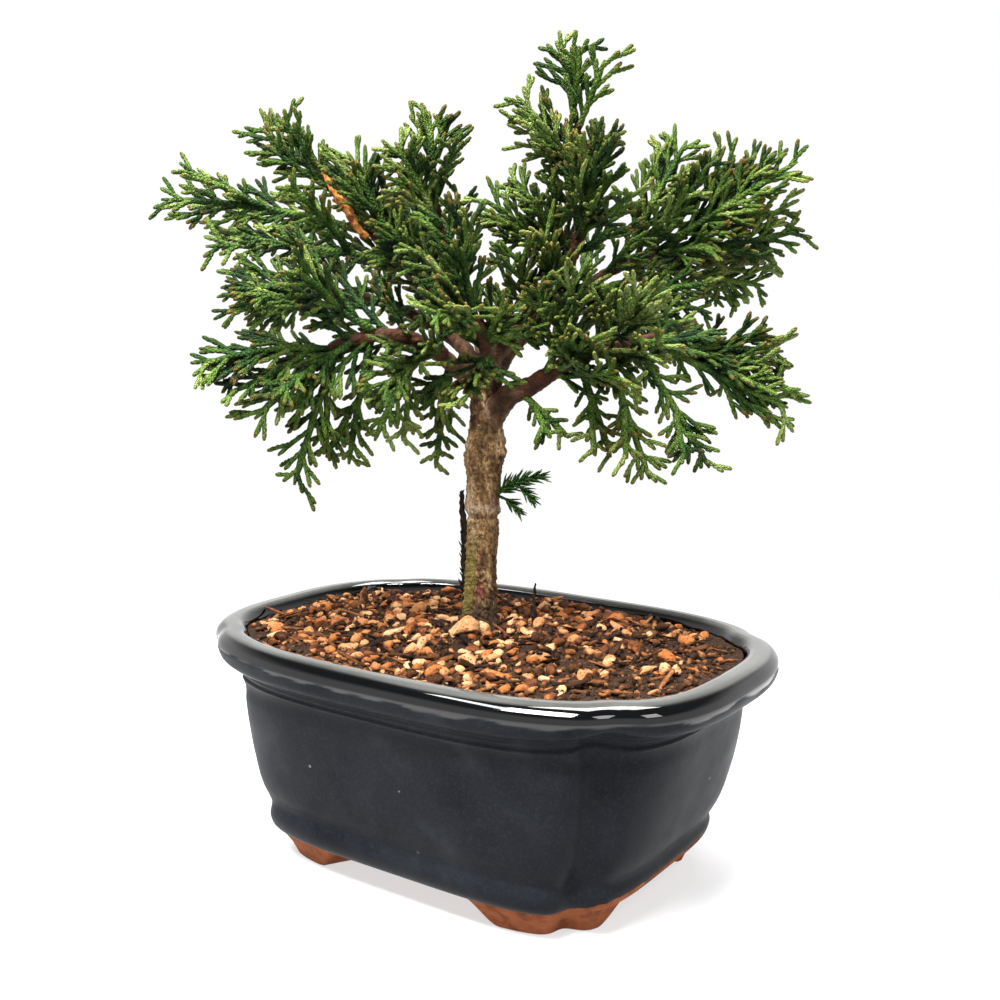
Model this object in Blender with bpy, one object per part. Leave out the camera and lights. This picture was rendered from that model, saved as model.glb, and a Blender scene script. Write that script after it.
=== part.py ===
"""A small juniper grown as a bonsai in a glazed, footed ceramic pot.

Frame: metres, +Z up, +X along the pot's long side, -Y towards the pot's front.
The feet stand on Z = 0 and the middle of the whole outline is over the origin.
Lengths in the tables are millimetres, turned into metres where they are used.
"""

import math

import bpy
import numpy as np
from mathutils import Matrix, Vector
from mathutils.bvhtree import BVHTree

# ------------------------------------------------------------------ sizes ----
MM = 0.001
GAP = 0.3  # clearance in mm left between pieces that touch in life

POT_CENTRE = (1.5, -9.0)  # where the pot's middle stands in the frame, mm

# Pot
POT_SIDES = 80
CORNER_DENT = 0.030  # depth of the dent at each corner, as a share of the radius
CORNER_ANGLE = 0.68
CORNER_SPREAD = 0.13
FOOT_HEIGHT = 7.8
FOOT_SPLAY = 4.2  # how far a foot draws in from the base to the ground
FOOT_THICKNESS = 9.0
FOOT_FLAT_BEYOND = (32.0, 25.0)  # the sole is flat beyond these X and Y
FOOT_RISES_AT = (21.0, 15.5)  # the foot's curve meets the base here
DRAIN_RADIUS = 4.0
DRAIN_X = 25.0
DRAIN_SIDES = 20

# Rings up the outside: height, half length, half width, squareness.
OUTER_RINGS = (
    (7.8, 55.0, 40.6, 4.4),
    (8.8, 56.9, 42.2, 4.3),
    (11.0, 58.3, 43.3, 4.2),
    (13.4, 58.8, 43.5, 4.1),
    (15.4, 58.7, 43.0, 4.1),
    (20.0, 60.6, 43.7, 4.0),
    (28.0, 63.5, 45.2, 3.8),
    (36.0, 65.7, 46.4, 3.6),
    (44.0, 67.2, 47.6, 3.4),
    (49.6, 68.2, 48.7, 3.2),
    (52.2, 69.8, 50.2, 3.0),
    (54.0, 74.2, 52.2, 2.9),
    (56.4, 77.2, 53.8, 2.8),
    (59.4, 78.0, 54.3, 2.8),
    (61.6, 76.4, 52.8, 2.8),
    (62.6, 73.6, 50.0, 2.9),
)
# Rings down the inside, from the lip to the floor.
INNER_RINGS = (
    (62.0, 71.0, 47.6, 2.9),
    (59.6, 69.0, 46.0, 3.0),
    (52.0, 65.4, 45.0, 3.2),
    (40.0, 62.8, 42.8, 3.6),
    (28.0, 59.6, 41.2, 3.8),
    (17.0, 55.4, 39.0, 4.0),
    (13.4, 52.0, 35.6, 4.0),
    (12.2, 46.0, 29.6, 3.6),
)

# Soil
SOIL_SIDES = 40  # half of the pot's sides, so its flats lie inside the pot's
SOIL_EDGE = 58.6
SOIL_MOUND = 2.2
SOIL_RELIEF = 0.35
SOIL_SHARES = (0.86, 0.68, 0.50, 0.33, 0.18, 0.07)  # rings between edge and trunk
POCKET_DEPTH = 4.6  # how deep the trunk's foot goes into the soil

# Trunk: X, Y, height, radius, from the foot in the soil to the top.
TRUNK_SIDES = 16
TRUNK = (
    (-5.7, 5.3, 56.6, 5.3),
    (-5.7, 5.3, 61.0, 5.0),
    (-5.6, 5.4, 66.0, 4.6),
    (-5.3, 5.5, 75.0, 4.3),
    (-5.0, 5.7, 86.0, 4.2),
    (-4.7, 5.9, 96.0, 4.4),
    (-4.5, 6.0, 104.0, 4.5),
    (-4.2, 6.2, 112.0, 4.9),
    (-4.0, 6.3, 120.0, 4.3),
    (-3.9, 6.4, 128.0, 3.9),
    (-3.8, 6.5, 133.0, 3.4),
)
# Knots where old shoots were cut: height, bearing in degrees, swelling, spread.
KNOTS = (
    (113.0, 15.0, 0.9, 4.0),
    (108.0, 200.0, 0.8, 3.5),
    (97.0, 260.0, 0.4, 3.0),
)

# Branches: X, Y, height, radius, from the trunk to the end.
BRANCH_SIDES = 8
BRANCHES = {
    "branch_leader": (
        (-3.6, 6.6, 135.6, 2.9),
        (-1.5, 10, 140.5, 2.7),
        (3, 16, 147, 2.6),
        (8, 21, 154, 2.4),
        (13, 24, 166, 1.7),
        (16, 27, 180, 1.3),
        (15, 25, 191, 1.0),
        (14, 22, 198, 0.7),
    ),
    "branch_right_low": (
        (3.5, 4.5, 126, 3.0),
        (10, 7, 129, 2.6),
        (16, 9, 133, 2.2),
        (23, 13, 137, 1.8),
        (31, 20, 140, 1.4),
        (37, 27, 142, 1.0),
    ),
    "branch_left_low": (
        (-7.5, 0, 132, 2.2),
        (-10, -6, 137, 2.1),
        (-14, -16, 142, 1.8),
        (-21, -24, 142, 1.5),
        (-27, -31, 139, 1.1),
    ),
    "branch_left_high": (
        (-10, 6, 137, 2.2),
        (-20, 5, 150, 2.0),
        (-32, 2, 164, 1.6),
        (-41, -2, 174, 1.3),
        (-46, -4, 181, 1.0),
    ),
    "branch_left_back": (
        (-13, 13, 135, 1.8),
        (-28, 13, 145, 1.6),
        (-45, 9, 152, 1.3),
        (-58, 4, 155, 1.0),
    ),
    "branch_centre": (
        (-9, 10, 141, 1.9),
        (-14, 9, 154, 1.7),
        (-19, 7, 168, 1.3),
        (-20, 5, 178, 1.0),
    ),
    "branch_right_back": (
        (-4, 17, 137, 1.9),
        (3, 32, 150, 1.7),
        (16, 46, 162, 1.3),
        (24, 52, 166, 1.0),
    ),
    "branch_front": (
        (1, -1, 134, 1.8),
        (4, -6, 141, 1.5),
        (4, -10, 147, 1.1),
    ),
}

# Foliage sprays: the branch each grows from, how far along it, where the spray ends,
# half its width, its lean in degrees.
SPRAYS = {
    "spray_apex": ("branch_leader", 1.0, (11, 21, 218), 7, 0),
    "spray_apex_left": ("branch_leader", 0.74, (3, 9, 205), 8, 10),
    "spray_apex_right": ("branch_leader", 0.80, (20, 36, 201), 8, -15),
    "spray_top_front": ("branch_leader", 0.58, (28, 9, 189), 10, 30),
    "spray_top_left": ("branch_leader", 0.46, (-1, 0, 178), 9, 20),
    "spray_left_peak": ("branch_centre", 1.0, (-15, 3, 205), 9, 0),
    "spray_left_crest": ("branch_left_high", 0.60, (-38, -11, 192), 10, 15),
    "spray_left_high": ("branch_left_high", 1.0, (-68, -14, 200), 9, 0),
    "spray_left_reach": ("branch_left_high", 0.74, (-74, -46, 178), 10, 20),
    "spray_left_back": ("branch_left_back", 1.0, (-80, -15, 152), 11, 10),
    "spray_left_cushion": ("branch_left_low", 0.66, (-38, -49, 156), 13, 50),
    "spray_left_low": ("branch_left_low", 1.0, (-48, -56, 135), 10, 40),
    "spray_left_hang": ("branch_left_low", 0.93, (-34, -38, 103), 10, 0),
    "spray_left_drop": ("branch_left_low", 0.72, (-31, -20, 107), 7, 0),
    "spray_middle_drop": ("branch_left_low", 0.36, (-22, -20, 114), 8, 10),
    "spray_middle_strand": ("branch_left_low", 0.12, (-17, 0, 105), 6, 0),
    "spray_centre_left": ("branch_left_low", 0.24, (-10, -32, 128), 8, 30),
    "spray_centre_rise": ("branch_front", 1.0, (1, -20, 172), 10, 30),
    "spray_centre_face": ("branch_front", 0.72, (8, -33, 147), 9, 60),
    "spray_centre_skirt": ("branch_front", 0.20, (10, -20, 127), 7, 30),
    "spray_centre_back": ("branch_centre", 0.45, (-39, 10, 179), 10, -10),
    "spray_shoulder": ("branch_right_back", 0.76, (31, 55, 197), 9, 0),
    "spray_shoulder_right": ("branch_right_back", 0.90, (45, 57, 192), 8, 15),
    "spray_far_right": ("branch_right_back", 1.0, (63, 58, 189), 10, 0),
    "spray_far_right_low": ("branch_right_back", 0.96, (61, 66, 171), 8, 30),
    "spray_right_back": ("branch_right_back", 0.84, (47, 76, 156), 10, 20),
    "spray_right_fill": ("branch_right_back", 0.55, (33, 54, 138), 10, 20),
    "spray_right_face": ("branch_right_low", 0.62, (44, 5, 155), 10, 50),
    "spray_right_face_low": ("branch_right_low", 0.40, (35, -6, 143), 9, 60),
    "spray_right_middle": ("branch_right_low", 1.0, (65, 47, 138), 10, 30),
    "spray_right_low": ("branch_right_low", 0.95, (69, 42, 123), 10, 20),
    "spray_right_hang": ("branch_right_low", 0.84, (53, 28, 107), 9, 0),
    "spray_right_drop": ("branch_right_low", 0.70, (40, 19, 104), 8, 10),
    "spray_right_strand": ("branch_right_low", 0.52, (27, 21, 109), 5, 0),
    "spray_under_branch": ("branch_right_low", 0.16, (20, 11, 115), 4, 0),
    "needle_shoot": ("trunk", 0.555, (11, 9, 104), 4, 20),
}
SPRAY_FACES = (0.57, -0.81, 0.15)  # the side most sprays spread towards
SPRAY_THICKNESS = 1.3  # half of it, at the stem
SPRAY_ARCH = 0.07  # how far a spray's stem bows upward, as a share of its length
SPRAY_STALK = 0.20  # share of a spray's length that is bare stem
STALK_HALF_WIDTH = 0.8
LOBE_PITCH = 4.6
LOBE_SWEEP = 0.75  # how far a lobe's end lies ahead of its start

# Thin dead shoots, drawn as rods: X, Y, height, radius at both ends and the middle.
RODS = {
    "dead_shoot": ((-10.6, 2.2, 71, 0.5), (-10.9, 2.3, 86, 0.8), (-11.2, 2.1, 100, 0.3)),
    "dead_twig": ((-35, -10, 170, 0.9), (-40, -13, 180, 1.1), (-45, -15, 188, 0.4)),
    "soil_spike": ((8, 12, 62.5, 0.4), (8, 12, 68, 0.4), (8.4, 12, 74, 0.2)),
    "soil_stub": ((-52, 9, 61.5, 0.5), (-52, 9, 63, 0.8), (-52, 9, 65.4, 0.2)),
}

# Loose baked-clay granules lying on the soil: X, Y, length, width, height, turn.
GRANULES = {
    "granule_large": (-2.6, -6.2, 9.0, 7.0, 6.0, 20),
    "granule_front_left": (14.0, -26.0, 7.0, 5.0, 3.6, 70),
    "granule_front_right": (45.0, -22.0, 6.4, 4.2, 3.4, 110),
    "granule_left": (-43.0, -19.0, 5.6, 4.4, 3.4, 10),
    "granule_right": (52.0, 6.0, 6.6, 4.2, 3.4, 150),
    "granule_back": (24.0, 30.0, 6.0, 4.6, 3.6, 40),
}
GRANULE_SEED = 7

COLOURS = {
    "glaze": ((0.030, 0.035, 0.045), 0.32),
    "soil": ((0.050, 0.028, 0.016), 0.95),
    "bark": ((0.240, 0.160, 0.090), 0.85),
    "young_bark": ((0.150, 0.065, 0.035), 0.80),
    "foliage": ((0.040, 0.110, 0.025), 0.60),
    "needles": ((0.020, 0.070, 0.020), 0.55),
    "dead_wood": ((0.060, 0.035, 0.020), 0.90),
    "clay": ((0.620, 0.340, 0.170), 0.90),
}


# ---------------------------------------------------------------- helpers ----
def material(name):
    """One plain surface, made once and shared by every piece that asks for it."""
    found = bpy.data.materials.get(name)
    if found:
        return found
    made = bpy.data.materials.new(name)
    made.use_nodes = True
    shader = made.node_tree.nodes["Principled BSDF"]
    colour, roughness = COLOURS[name]
    shader.inputs["Base Color"].default_value = (*colour, 1.0)
    shader.inputs["Roughness"].default_value = roughness
    shader.inputs["Metallic"].default_value = 0.0
    made.diffuse_color = (*colour, 1.0)
    return made


def add_piece(name, points, faces, surface, place=None):
    """A mesh object from points in mm, under the plant's empty."""
    mesh = bpy.data.meshes.new(name)
    mesh.from_pydata([tuple(p) for p in np.asarray(points) * MM], [], faces)
    mesh.validate()
    mesh.update()
    piece = bpy.data.objects.new(name, mesh)
    bpy.context.collection.objects.link(piece)
    piece.parent = ROOT
    piece.data.materials.append(material(surface))
    if place is not None:
        piece.matrix_local = place
    return piece


def smooth_step(value, low, high):
    """0 below low, 1 above high, and an S-shaped rise between them."""
    share = np.clip((value - low) / (high - low), 0.0, 1.0)
    return share * share * (3.0 - 2.0 * share)


def dented_oval(half_length, half_width, squareness, sides):
    """A squared oval with a soft dent at each corner.

    The radius of |cos|^n + |sin|^n = 1 is cut back by a bell curve at the corners.
    """
    turn = np.linspace(0.0, 2.0 * math.pi, sides, endpoint=False)
    across = np.cos(turn)
    along = np.sin(turn)
    radius = (np.abs(across) ** squareness + np.abs(along) ** squareness) ** (-1.0 / squareness)
    corner = np.arctan2(np.abs(along), np.abs(across))
    radius *= 1.0 - CORNER_DENT * np.exp(-(((corner - CORNER_ANGLE) / CORNER_SPREAD) ** 2))
    return np.column_stack((half_length * radius * across, half_width * radius * along))


def ring_at(height, half_length, half_width, squareness, sides):
    """A level ring of points."""
    flat = dented_oval(half_length, half_width, squareness, sides)
    return np.column_stack((flat, np.full(sides, height)))


def stack_rings(rings, first_centre, last_centre):
    """Points and faces of a closed skin through equal rings, with a fan on each end."""
    sides = len(rings[0])
    points = np.vstack([*rings, first_centre, last_centre])
    first = len(rings) * sides
    last = first + 1
    faces = []
    for level in range(len(rings) - 1):
        low = level * sides
        for side in range(sides):
            after = (side + 1) % sides
            faces.append((low + side, low + after, low + sides + after))
            faces.append((low + side, low + sides + after, low + sides + side))
    top = (len(rings) - 1) * sides
    for side in range(sides):
        after = (side + 1) % sides
        faces.append((first, after, side))
        faces.append((last, top + side, top + after))
    return points, faces


def path_rings(path, sides):
    """Rings of a round limb: each one square to the path there, with no twist."""
    path = np.array(path, float)
    centres = path[:, :3]
    ways = np.gradient(centres, axis=0)
    ways /= np.linalg.norm(ways, axis=1)[:, None]
    turn = np.linspace(0.0, 2.0 * math.pi, sides, endpoint=False)
    side_way = np.cross((0.0, 1.0, 0.0), ways[0])
    rings = []
    for centre, way, radius in zip(centres, ways, path[:, 3]):
        side_way = side_way - way * side_way.dot(way)
        side_way /= np.linalg.norm(side_way)
        other = np.cross(way, side_way)
        spread = np.outer(np.cos(turn), side_way) + np.outer(np.sin(turn), other)
        rings.append(centre + radius * spread)
    return rings, centres


def add_limb(name, path, sides, surface, swell=None):
    """A tapering round limb, closed at both ends, whose origin is its lower end."""
    rings, centres = path_rings(path, sides)
    if swell:
        rings = [swell(ring, centre) for ring, centre in zip(rings, centres)]
    points, faces = stack_rings(rings, centres[0], centres[-1])
    start = centres[0]
    place = Matrix.Translation(Vector(start * MM))
    return add_piece(name, points - start, faces, surface, place)


# -------------------------------------------------------------------- pot ----
def foot_share(flat):
    """1 where a corner foot reaches the ground, 0 where the base is bare."""
    share_x = smooth_step(np.abs(flat[:, 0]), FOOT_RISES_AT[0], FOOT_FLAT_BEYOND[0])
    share_y = smooth_step(np.abs(flat[:, 1]), FOOT_RISES_AT[1], FOOT_FLAT_BEYOND[1])
    return share_x * share_y


def foot_ring(inset, reach):
    """A ring under the base: drawn in by inset, and let down to the ground at the feet."""
    height, half_length, half_width, squareness = OUTER_RINGS[0]
    base = dented_oval(half_length, half_width, squareness, POT_SIDES)
    share = foot_share(base)
    flat = dented_oval(half_length - inset, half_width - inset, squareness, POT_SIDES)
    inner = dented_oval(
        half_length - inset - FOOT_SPLAY, half_width - inset - FOOT_SPLAY, squareness, POT_SIDES
    )
    flat += (inner - flat) * share[:, None]
    drop = height * (1.0 - share * reach)
    return np.column_stack((flat, drop))


def build_pot():
    """One fired piece: feet, wall, skirt band, rolled lip and floor with two drain holes."""
    rings = [foot_ring(FOOT_THICKNESS + 1.5, 0.0)]
    rings.append(foot_ring(FOOT_THICKNESS, 1.0))
    rings.append(foot_ring(0.8, 1.0))
    rings.extend(ring_at(*row, POT_SIDES) for row in OUTER_RINGS)
    rings.extend(ring_at(*row, POT_SIDES) for row in INNER_RINGS)
    floor = (0.0, 0.0, INNER_RINGS[-1][0])
    under = (0.0, 0.0, FOOT_HEIGHT)
    points, faces = stack_rings(rings, under, floor)
    pot = add_piece("pot", points, faces, "glaze")
    for side in (-1, 1):
        turn = np.linspace(0.0, 2.0 * math.pi, DRAIN_SIDES, endpoint=False)
        circle = DRAIN_RADIUS * np.column_stack((np.cos(turn), np.sin(turn)))
        circle += (side * DRAIN_X, 0.0)
        low = np.column_stack((circle, np.full(DRAIN_SIDES, FOOT_HEIGHT - 3.0)))
        high = low + (0.0, 0.0, 12.0)
        points, faces = stack_rings([low, high], low.mean(axis=0), high.mean(axis=0))
        cutter = add_piece(f"drain_cutter_{side + 1}", points, faces, "glaze")
        cutter.hide_render = True
        cutter.display_type = "WIRE"
        cut = pot.modifiers.new(cutter.name, "BOOLEAN")
        cut.operation = "DIFFERENCE"
        cut.solver = "EXACT"
        cut.object = cutter
    return pot


# ------------------------------------------------------------------- soil ----
def soil_height(flat):
    """Edge height, plus a low mound round the trunk, plus gentle waves."""
    away = np.hypot(flat[:, 0] / OUTER_RINGS[-1][1], flat[:, 1] / OUTER_RINGS[-1][2])
    mound = SOIL_MOUND * (1.0 - np.clip(away, 0.0, 1.0) ** 2)
    waves = np.sin(flat[:, 0] * 0.31) * np.cos(flat[:, 1] * 0.43)
    return SOIL_EDGE + mound + SOIL_RELIEF * waves


def build_soil():
    """The pot's fill: it follows the inside of the wall and has a pocket for the trunk."""
    clear = GAP + 0.15
    wall = [
        (height + GAP, length - clear, width - clear, square)
        for height, length, width, square in reversed(INNER_RINGS)
        if height < SOIL_EDGE - 4.0
    ]
    below = INNER_RINGS[2]
    above = INNER_RINGS[1]
    share = (SOIL_EDGE - below[0]) / (above[0] - below[0])
    edge = [low + share * (high - low) for low, high in zip(below, above)]
    wall.append((SOIL_EDGE, edge[1] - clear, edge[2] - clear, edge[3]))
    rings = [ring_at(*row, SOIL_SIDES) for row in wall]
    outline = rings[-1][:, :2]
    foot = np.array(TRUNK[0][:2])
    turn = np.linspace(0.0, 2.0 * math.pi, SOIL_SIDES, endpoint=False)
    pocket = foot + (TRUNK[0][3] + 2.0 * GAP) * np.column_stack((np.cos(turn), np.sin(turn)))
    for share in (*SOIL_SHARES, 0.0):
        flat = pocket + (outline - pocket) * share
        rings.append(np.column_stack((flat, soil_height(flat))))
    bottom = TRUNK[0][2] - GAP
    rings.append(np.column_stack((pocket, np.full(SOIL_SIDES, bottom))))
    under = (0.0, 0.0, wall[0][0])
    points, faces = stack_rings(rings, under, (*foot, bottom))
    return add_piece("soil", points, faces, "soil")


# ------------------------------------------------------------------ trunk ----
def swell_knots(ring, centre):
    """Push a ring's points outward near each knot: height and bearing bells together."""
    away = ring - centre
    bearing = np.degrees(np.arctan2(away[:, 1], away[:, 0]))
    for height, knot_bearing, swelling, spread in KNOTS:
        turn = (bearing - knot_bearing + 180.0) % 360.0 - 180.0
        bell = math.exp(-(((centre[2] - height) / spread) ** 2)) * np.exp(-((turn / 45.0) ** 2))
        length = np.linalg.norm(away, axis=1)
        away = away * (1.0 + swelling * bell / length)[:, None]
    return centre + away


# ----------------------------------------------------------------- sprays ----
def spray_shape(length, half_width, extra=0.0):
    """A feathered blade in its own frame: stem along +X, spread along Y, thin along Z.

    The half width swells from the start and narrows to the tip, and it is scalloped
    into lobes; every lobe is swept forward, which leaves the outline free of crossings.
    """
    leafy = length * (1.0 - SPRAY_STALK)
    lobes = max(3, round(leafy / LOBE_PITCH))
    steps = 2 * lobes + 1
    grown = np.linspace(0.0, 1.0, steps)
    swell = 0.30 + 0.70 * np.sin(np.pi * (grown * 0.86 + 0.12)) ** 0.8
    even = np.arange(steps) % 2 == 0
    taper = np.where(grown > 0.93, 0.35, 1.0)
    left = half_width * swell * taper * np.where(even, 0.42, 1.0)
    right = half_width * swell * taper * np.where(even, 1.0, 0.42)
    left = np.concatenate(([STALK_HALF_WIDTH] * 2, left)) + extra
    right = np.concatenate(([STALK_HALF_WIDTH] * 2, right)) + extra
    reach = length - LOBE_SWEEP * half_width * 0.35
    stalk = SPRAY_STALK * length - LOBE_SWEEP * half_width * 0.3
    along = np.concatenate(((0.0, stalk), stalk + 1.5 + grown * (reach - stalk - 1.5)))
    share = along / reach
    arch = SPRAY_ARCH * length * 4.0 * share * (1.0 - share)
    thick = SPRAY_THICKNESS * (1.0 - 0.55 * share) + extra
    zero = np.zeros(len(along))
    left_edge = np.column_stack((along + LOBE_SWEEP * left, left, arch))
    top_line = np.column_stack((along, zero, arch + thick))
    right_edge = np.column_stack((along + LOBE_SWEEP * right, -right, arch))
    low_line = np.column_stack((along, zero, arch - thick))
    rings = np.stack((left_edge, top_line, right_edge, low_line), axis=1)
    start = (-0.5 - extra, 0.0, 0.0)
    tip = (along[-1] + 0.35 * half_width + extra, 0.0, 0.0)
    return stack_rings(list(rings), start, tip)


def growing_point(path, share, tip):
    """The point just clear of a limb's bark, at a share of its length, on the way to the tip."""
    path = np.array(path, float)
    run = np.concatenate(((0.0,), np.cumsum(np.linalg.norm(np.diff(path[:, :3], axis=0), axis=1))))
    here = [np.interp(share * run[-1], run, path[:, column]) for column in range(4)]
    way = np.array(tip) - here[:3]
    way /= np.linalg.norm(way)
    return here[:3] + way * (here[3] + 0.5 + 3.0 * GAP)


def spray_place(base, tip, lean):
    """The frame of a spray: +X to its tip, its flat side towards SPRAY_FACES, then leant."""
    way = Vector(tip) - Vector(base)
    way.normalize()
    face = Vector(SPRAY_FACES)
    face = face - way * face.dot(way)
    face.normalize()
    side = face.cross(way)
    frame = Matrix((way, side, face)).transposed().to_4x4()
    return Matrix.Translation(Vector(base) * MM) @ frame @ Matrix.Rotation(math.radians(lean), 4, "X")


def tree_of(points, faces, place):
    """A search tree, in mm, of a piece's skin in the plant's frame."""
    moved = [(place @ (Vector(p) * MM)) / MM for p in points]
    return BVHTree.FromPolygons(moved, faces, all_triangles=False, epsilon=0.0)


def skin_of(piece):
    """The search tree of a finished piece."""
    bpy.context.view_layer.update()
    points = [v.co / MM for v in piece.data.vertices]
    return tree_of(points, [tuple(f.vertices) for f in piece.data.polygons], piece.matrix_local)


def add_spray(name, base, tip, half_width, lean, neighbours, surface):
    """A spray in the nearest place where it clears its neighbours.

    It tries its own place first, then places on a widening spiral round it with the
    blade leant a little to either side, and keeps the first that touches nothing.
    """
    length = (Vector(tip) - Vector(base)).length
    points, faces = spray_shape(length, half_width)
    wide_points, wide_faces = spray_shape(length, half_width, GAP)
    for attempt in range(400):
        away = 0.12 * attempt**0.75
        turn = attempt * 2.4
        tilt = lean + 1.2 * away * math.sin(attempt * 1.7) * 4.0
        place = spray_place(base, tip, tilt)
        shift = Vector((abs(math.sin(turn * 0.37)) * away, math.cos(turn) * away, math.sin(turn) * away))
        place = place @ Matrix.Translation(shift * MM)
        mine = tree_of(wide_points, wide_faces, place)
        if not any(mine.overlap(other) for other in neighbours):
            break
    else:
        print("no clear place for", name)
    if attempt:
        print(f"{name} moved {away:.1f} mm")
    piece = add_piece(name, points, faces, surface, place)
    neighbours.append(skin_of(piece))
    return piece


# --------------------------------------------------------------- granules ----
def add_granule(name, x, y, length, width, height, turn, ground, chance):
    """A rough lump of baked clay set down on the highest soil under it."""
    bpy.ops.mesh.primitive_ico_sphere_add(subdivisions=2, radius=1.0)
    piece = bpy.context.active_object
    piece.name = name
    piece.data.name = name
    shape = np.array([v.co[:] for v in piece.data.vertices])
    shape *= 1.0 + chance.uniform(-0.10, 0.10, (len(shape), 1))
    shape = np.sign(shape) * np.abs(shape) ** 0.85
    shape *= np.array((length, width, height)) / 2.0
    turned = Matrix.Rotation(math.radians(turn), 3, "Z")
    shape = shape @ np.array(turned).T
    lowest = shape[:, 2].min()
    highest_soil = max(
        ground.ray_cast(Vector((x + dx, y + dy, 90.0)), Vector((0, 0, -1)))[0].z
        for dx, dy in shape[:, :2]
    )
    for vertex, point in zip(piece.data.vertices, shape):
        vertex.co = Vector(point) * MM
    piece.data.materials.append(material("clay"))
    piece.parent = ROOT
    piece.location = Vector((x, y, highest_soil + GAP - lowest)) * MM
    return piece


# ------------------------------------------------------------------ build ----
for old in list(bpy.data.objects):
    bpy.data.objects.remove(old, do_unlink=True)

ROOT = bpy.data.objects.new("plant_root", None)
bpy.context.collection.objects.link(ROOT)
ROOT.location = Vector((*POT_CENTRE, 0.0)) * MM

build_pot()
soil = build_soil()
trunk = add_limb("trunk", TRUNK, TRUNK_SIDES, "bark", swell_knots)

wood = [trunk]
for branch_name, branch_path in BRANCHES.items():
    wood.append(add_limb(branch_name, branch_path, BRANCH_SIDES, "young_bark"))
for rod_name, rod_path in RODS.items():
    wood.append(add_limb(rod_name, rod_path, 6, "dead_wood"))

taken = [skin_of(piece) for piece in wood]
limb_paths = {"trunk": TRUNK, **BRANCHES}
for spray_name, (limb, share, end, half, lean) in SPRAYS.items():
    surface_name = "needles" if spray_name == "needle_shoot" else "foliage"
    start = growing_point(limb_paths[limb], share, end)
    add_spray(spray_name, start, end, half, lean, taken, surface_name)

soil_skin = skin_of(soil)
random = np.random.default_rng(GRANULE_SEED)
for granule_name, row in GRANULES.items():
    add_granule(granule_name, *row, soil_skin, random)

bpy.context.view_layer.update()
corners = [
    piece.matrix_world @ Vector(corner)
    for piece in bpy.data.objects
    if piece.type == "MESH" and not piece.hide_render
    for corner in (v.co for v in piece.data.vertices)
]
low = [min(c[axis] for c in corners) / MM for axis in range(3)]
high = [max(c[axis] for c in corners) / MM for axis in range(3)]
print("outline low", [round(v, 2) for v in low], "high", [round(v, 2) for v in high])
print("middle", [round((a + b) / 2, 2) for a, b in zip(low, high)])
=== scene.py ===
# %% [markdown]
# # A small juniper bonsai, built as surfaces
#
# The real thing is a young juniper standing in a glazed, footed pot. The packed
# CAD model already holds every solid at its true size and place; here each solid
# gets its full shape and finish. All lengths are worked out in millimetres
# round the middle of the pot, and one function turns them into metres.

import math

import bpy
import numpy as np
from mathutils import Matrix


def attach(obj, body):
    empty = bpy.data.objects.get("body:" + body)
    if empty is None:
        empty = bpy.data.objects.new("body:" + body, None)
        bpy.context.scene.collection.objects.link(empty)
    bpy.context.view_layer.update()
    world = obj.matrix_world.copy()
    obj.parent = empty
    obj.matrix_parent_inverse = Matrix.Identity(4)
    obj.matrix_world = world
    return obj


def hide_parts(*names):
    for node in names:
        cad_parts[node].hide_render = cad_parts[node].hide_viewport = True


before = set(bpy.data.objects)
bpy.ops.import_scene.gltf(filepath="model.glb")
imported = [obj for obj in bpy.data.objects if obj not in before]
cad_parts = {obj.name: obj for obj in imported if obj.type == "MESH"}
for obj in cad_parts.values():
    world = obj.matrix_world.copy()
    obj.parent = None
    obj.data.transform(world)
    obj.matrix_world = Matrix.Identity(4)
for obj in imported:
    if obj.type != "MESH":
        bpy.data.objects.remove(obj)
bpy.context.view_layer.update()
MM = 0.001
POT_CENTRE = np.array((1.5, -9.0, 0.0))  # the pot's middle in the frame, mm

# %% [markdown]
# ## Camera
#
# The camera stands at the pot's front right corner, a little above the lip and
# quite close, so the near corner looms and the far end shrinks. Its place is set
# by bearing, height angle and distance, as a photographer would note them.

# %% Camera
CAMERA_BEARING = 34.92  # degrees round from the pot's front
CAMERA_HEIGHT_ANGLE = 8.49
CAMERA_DISTANCE = 323.7
CAMERA_TARGET = (3.3, 2.3, 98.4)
CAMERA_LENS = 43.28


def to_frame(points):
    """Millimetres round the pot's middle, as metres in the frame: (p + centre) / 1000."""
    return (np.asarray(points, float) + POT_CENTRE) * MM


def towards_camera():
    """The unit way from the target to the camera: bearing in plan, then height angle."""
    bearing = math.radians(CAMERA_BEARING)
    height = math.radians(CAMERA_HEIGHT_ANGLE)
    plan = math.cos(height)
    return np.array((math.sin(bearing) * plan, -math.cos(bearing) * plan, math.sin(height)))


camera_data = bpy.data.cameras.new("camera")
camera_data.lens = CAMERA_LENS
camera_data.sensor_width = 36.0
camera_data.clip_start = 0.01
camera = bpy.data.objects.new("camera", camera_data)
bpy.context.collection.objects.link(camera)
camera.location = to_frame(np.array(CAMERA_TARGET) + CAMERA_DISTANCE * towards_camera())
camera.rotation_euler = (
    math.radians(90.0 - CAMERA_HEIGHT_ANGLE),
    0.0,
    math.radians(CAMERA_BEARING),
)
bpy.context.scene.camera = camera
print("camera at", [round(v, 4) for v in camera.location])

# %% [markdown]
# ## Node helpers
#
# A finish is a small network of nodes. These helpers add one node and link it in
# a single line, so that each finish below reads as a short recipe.

# %% Node helpers


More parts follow.
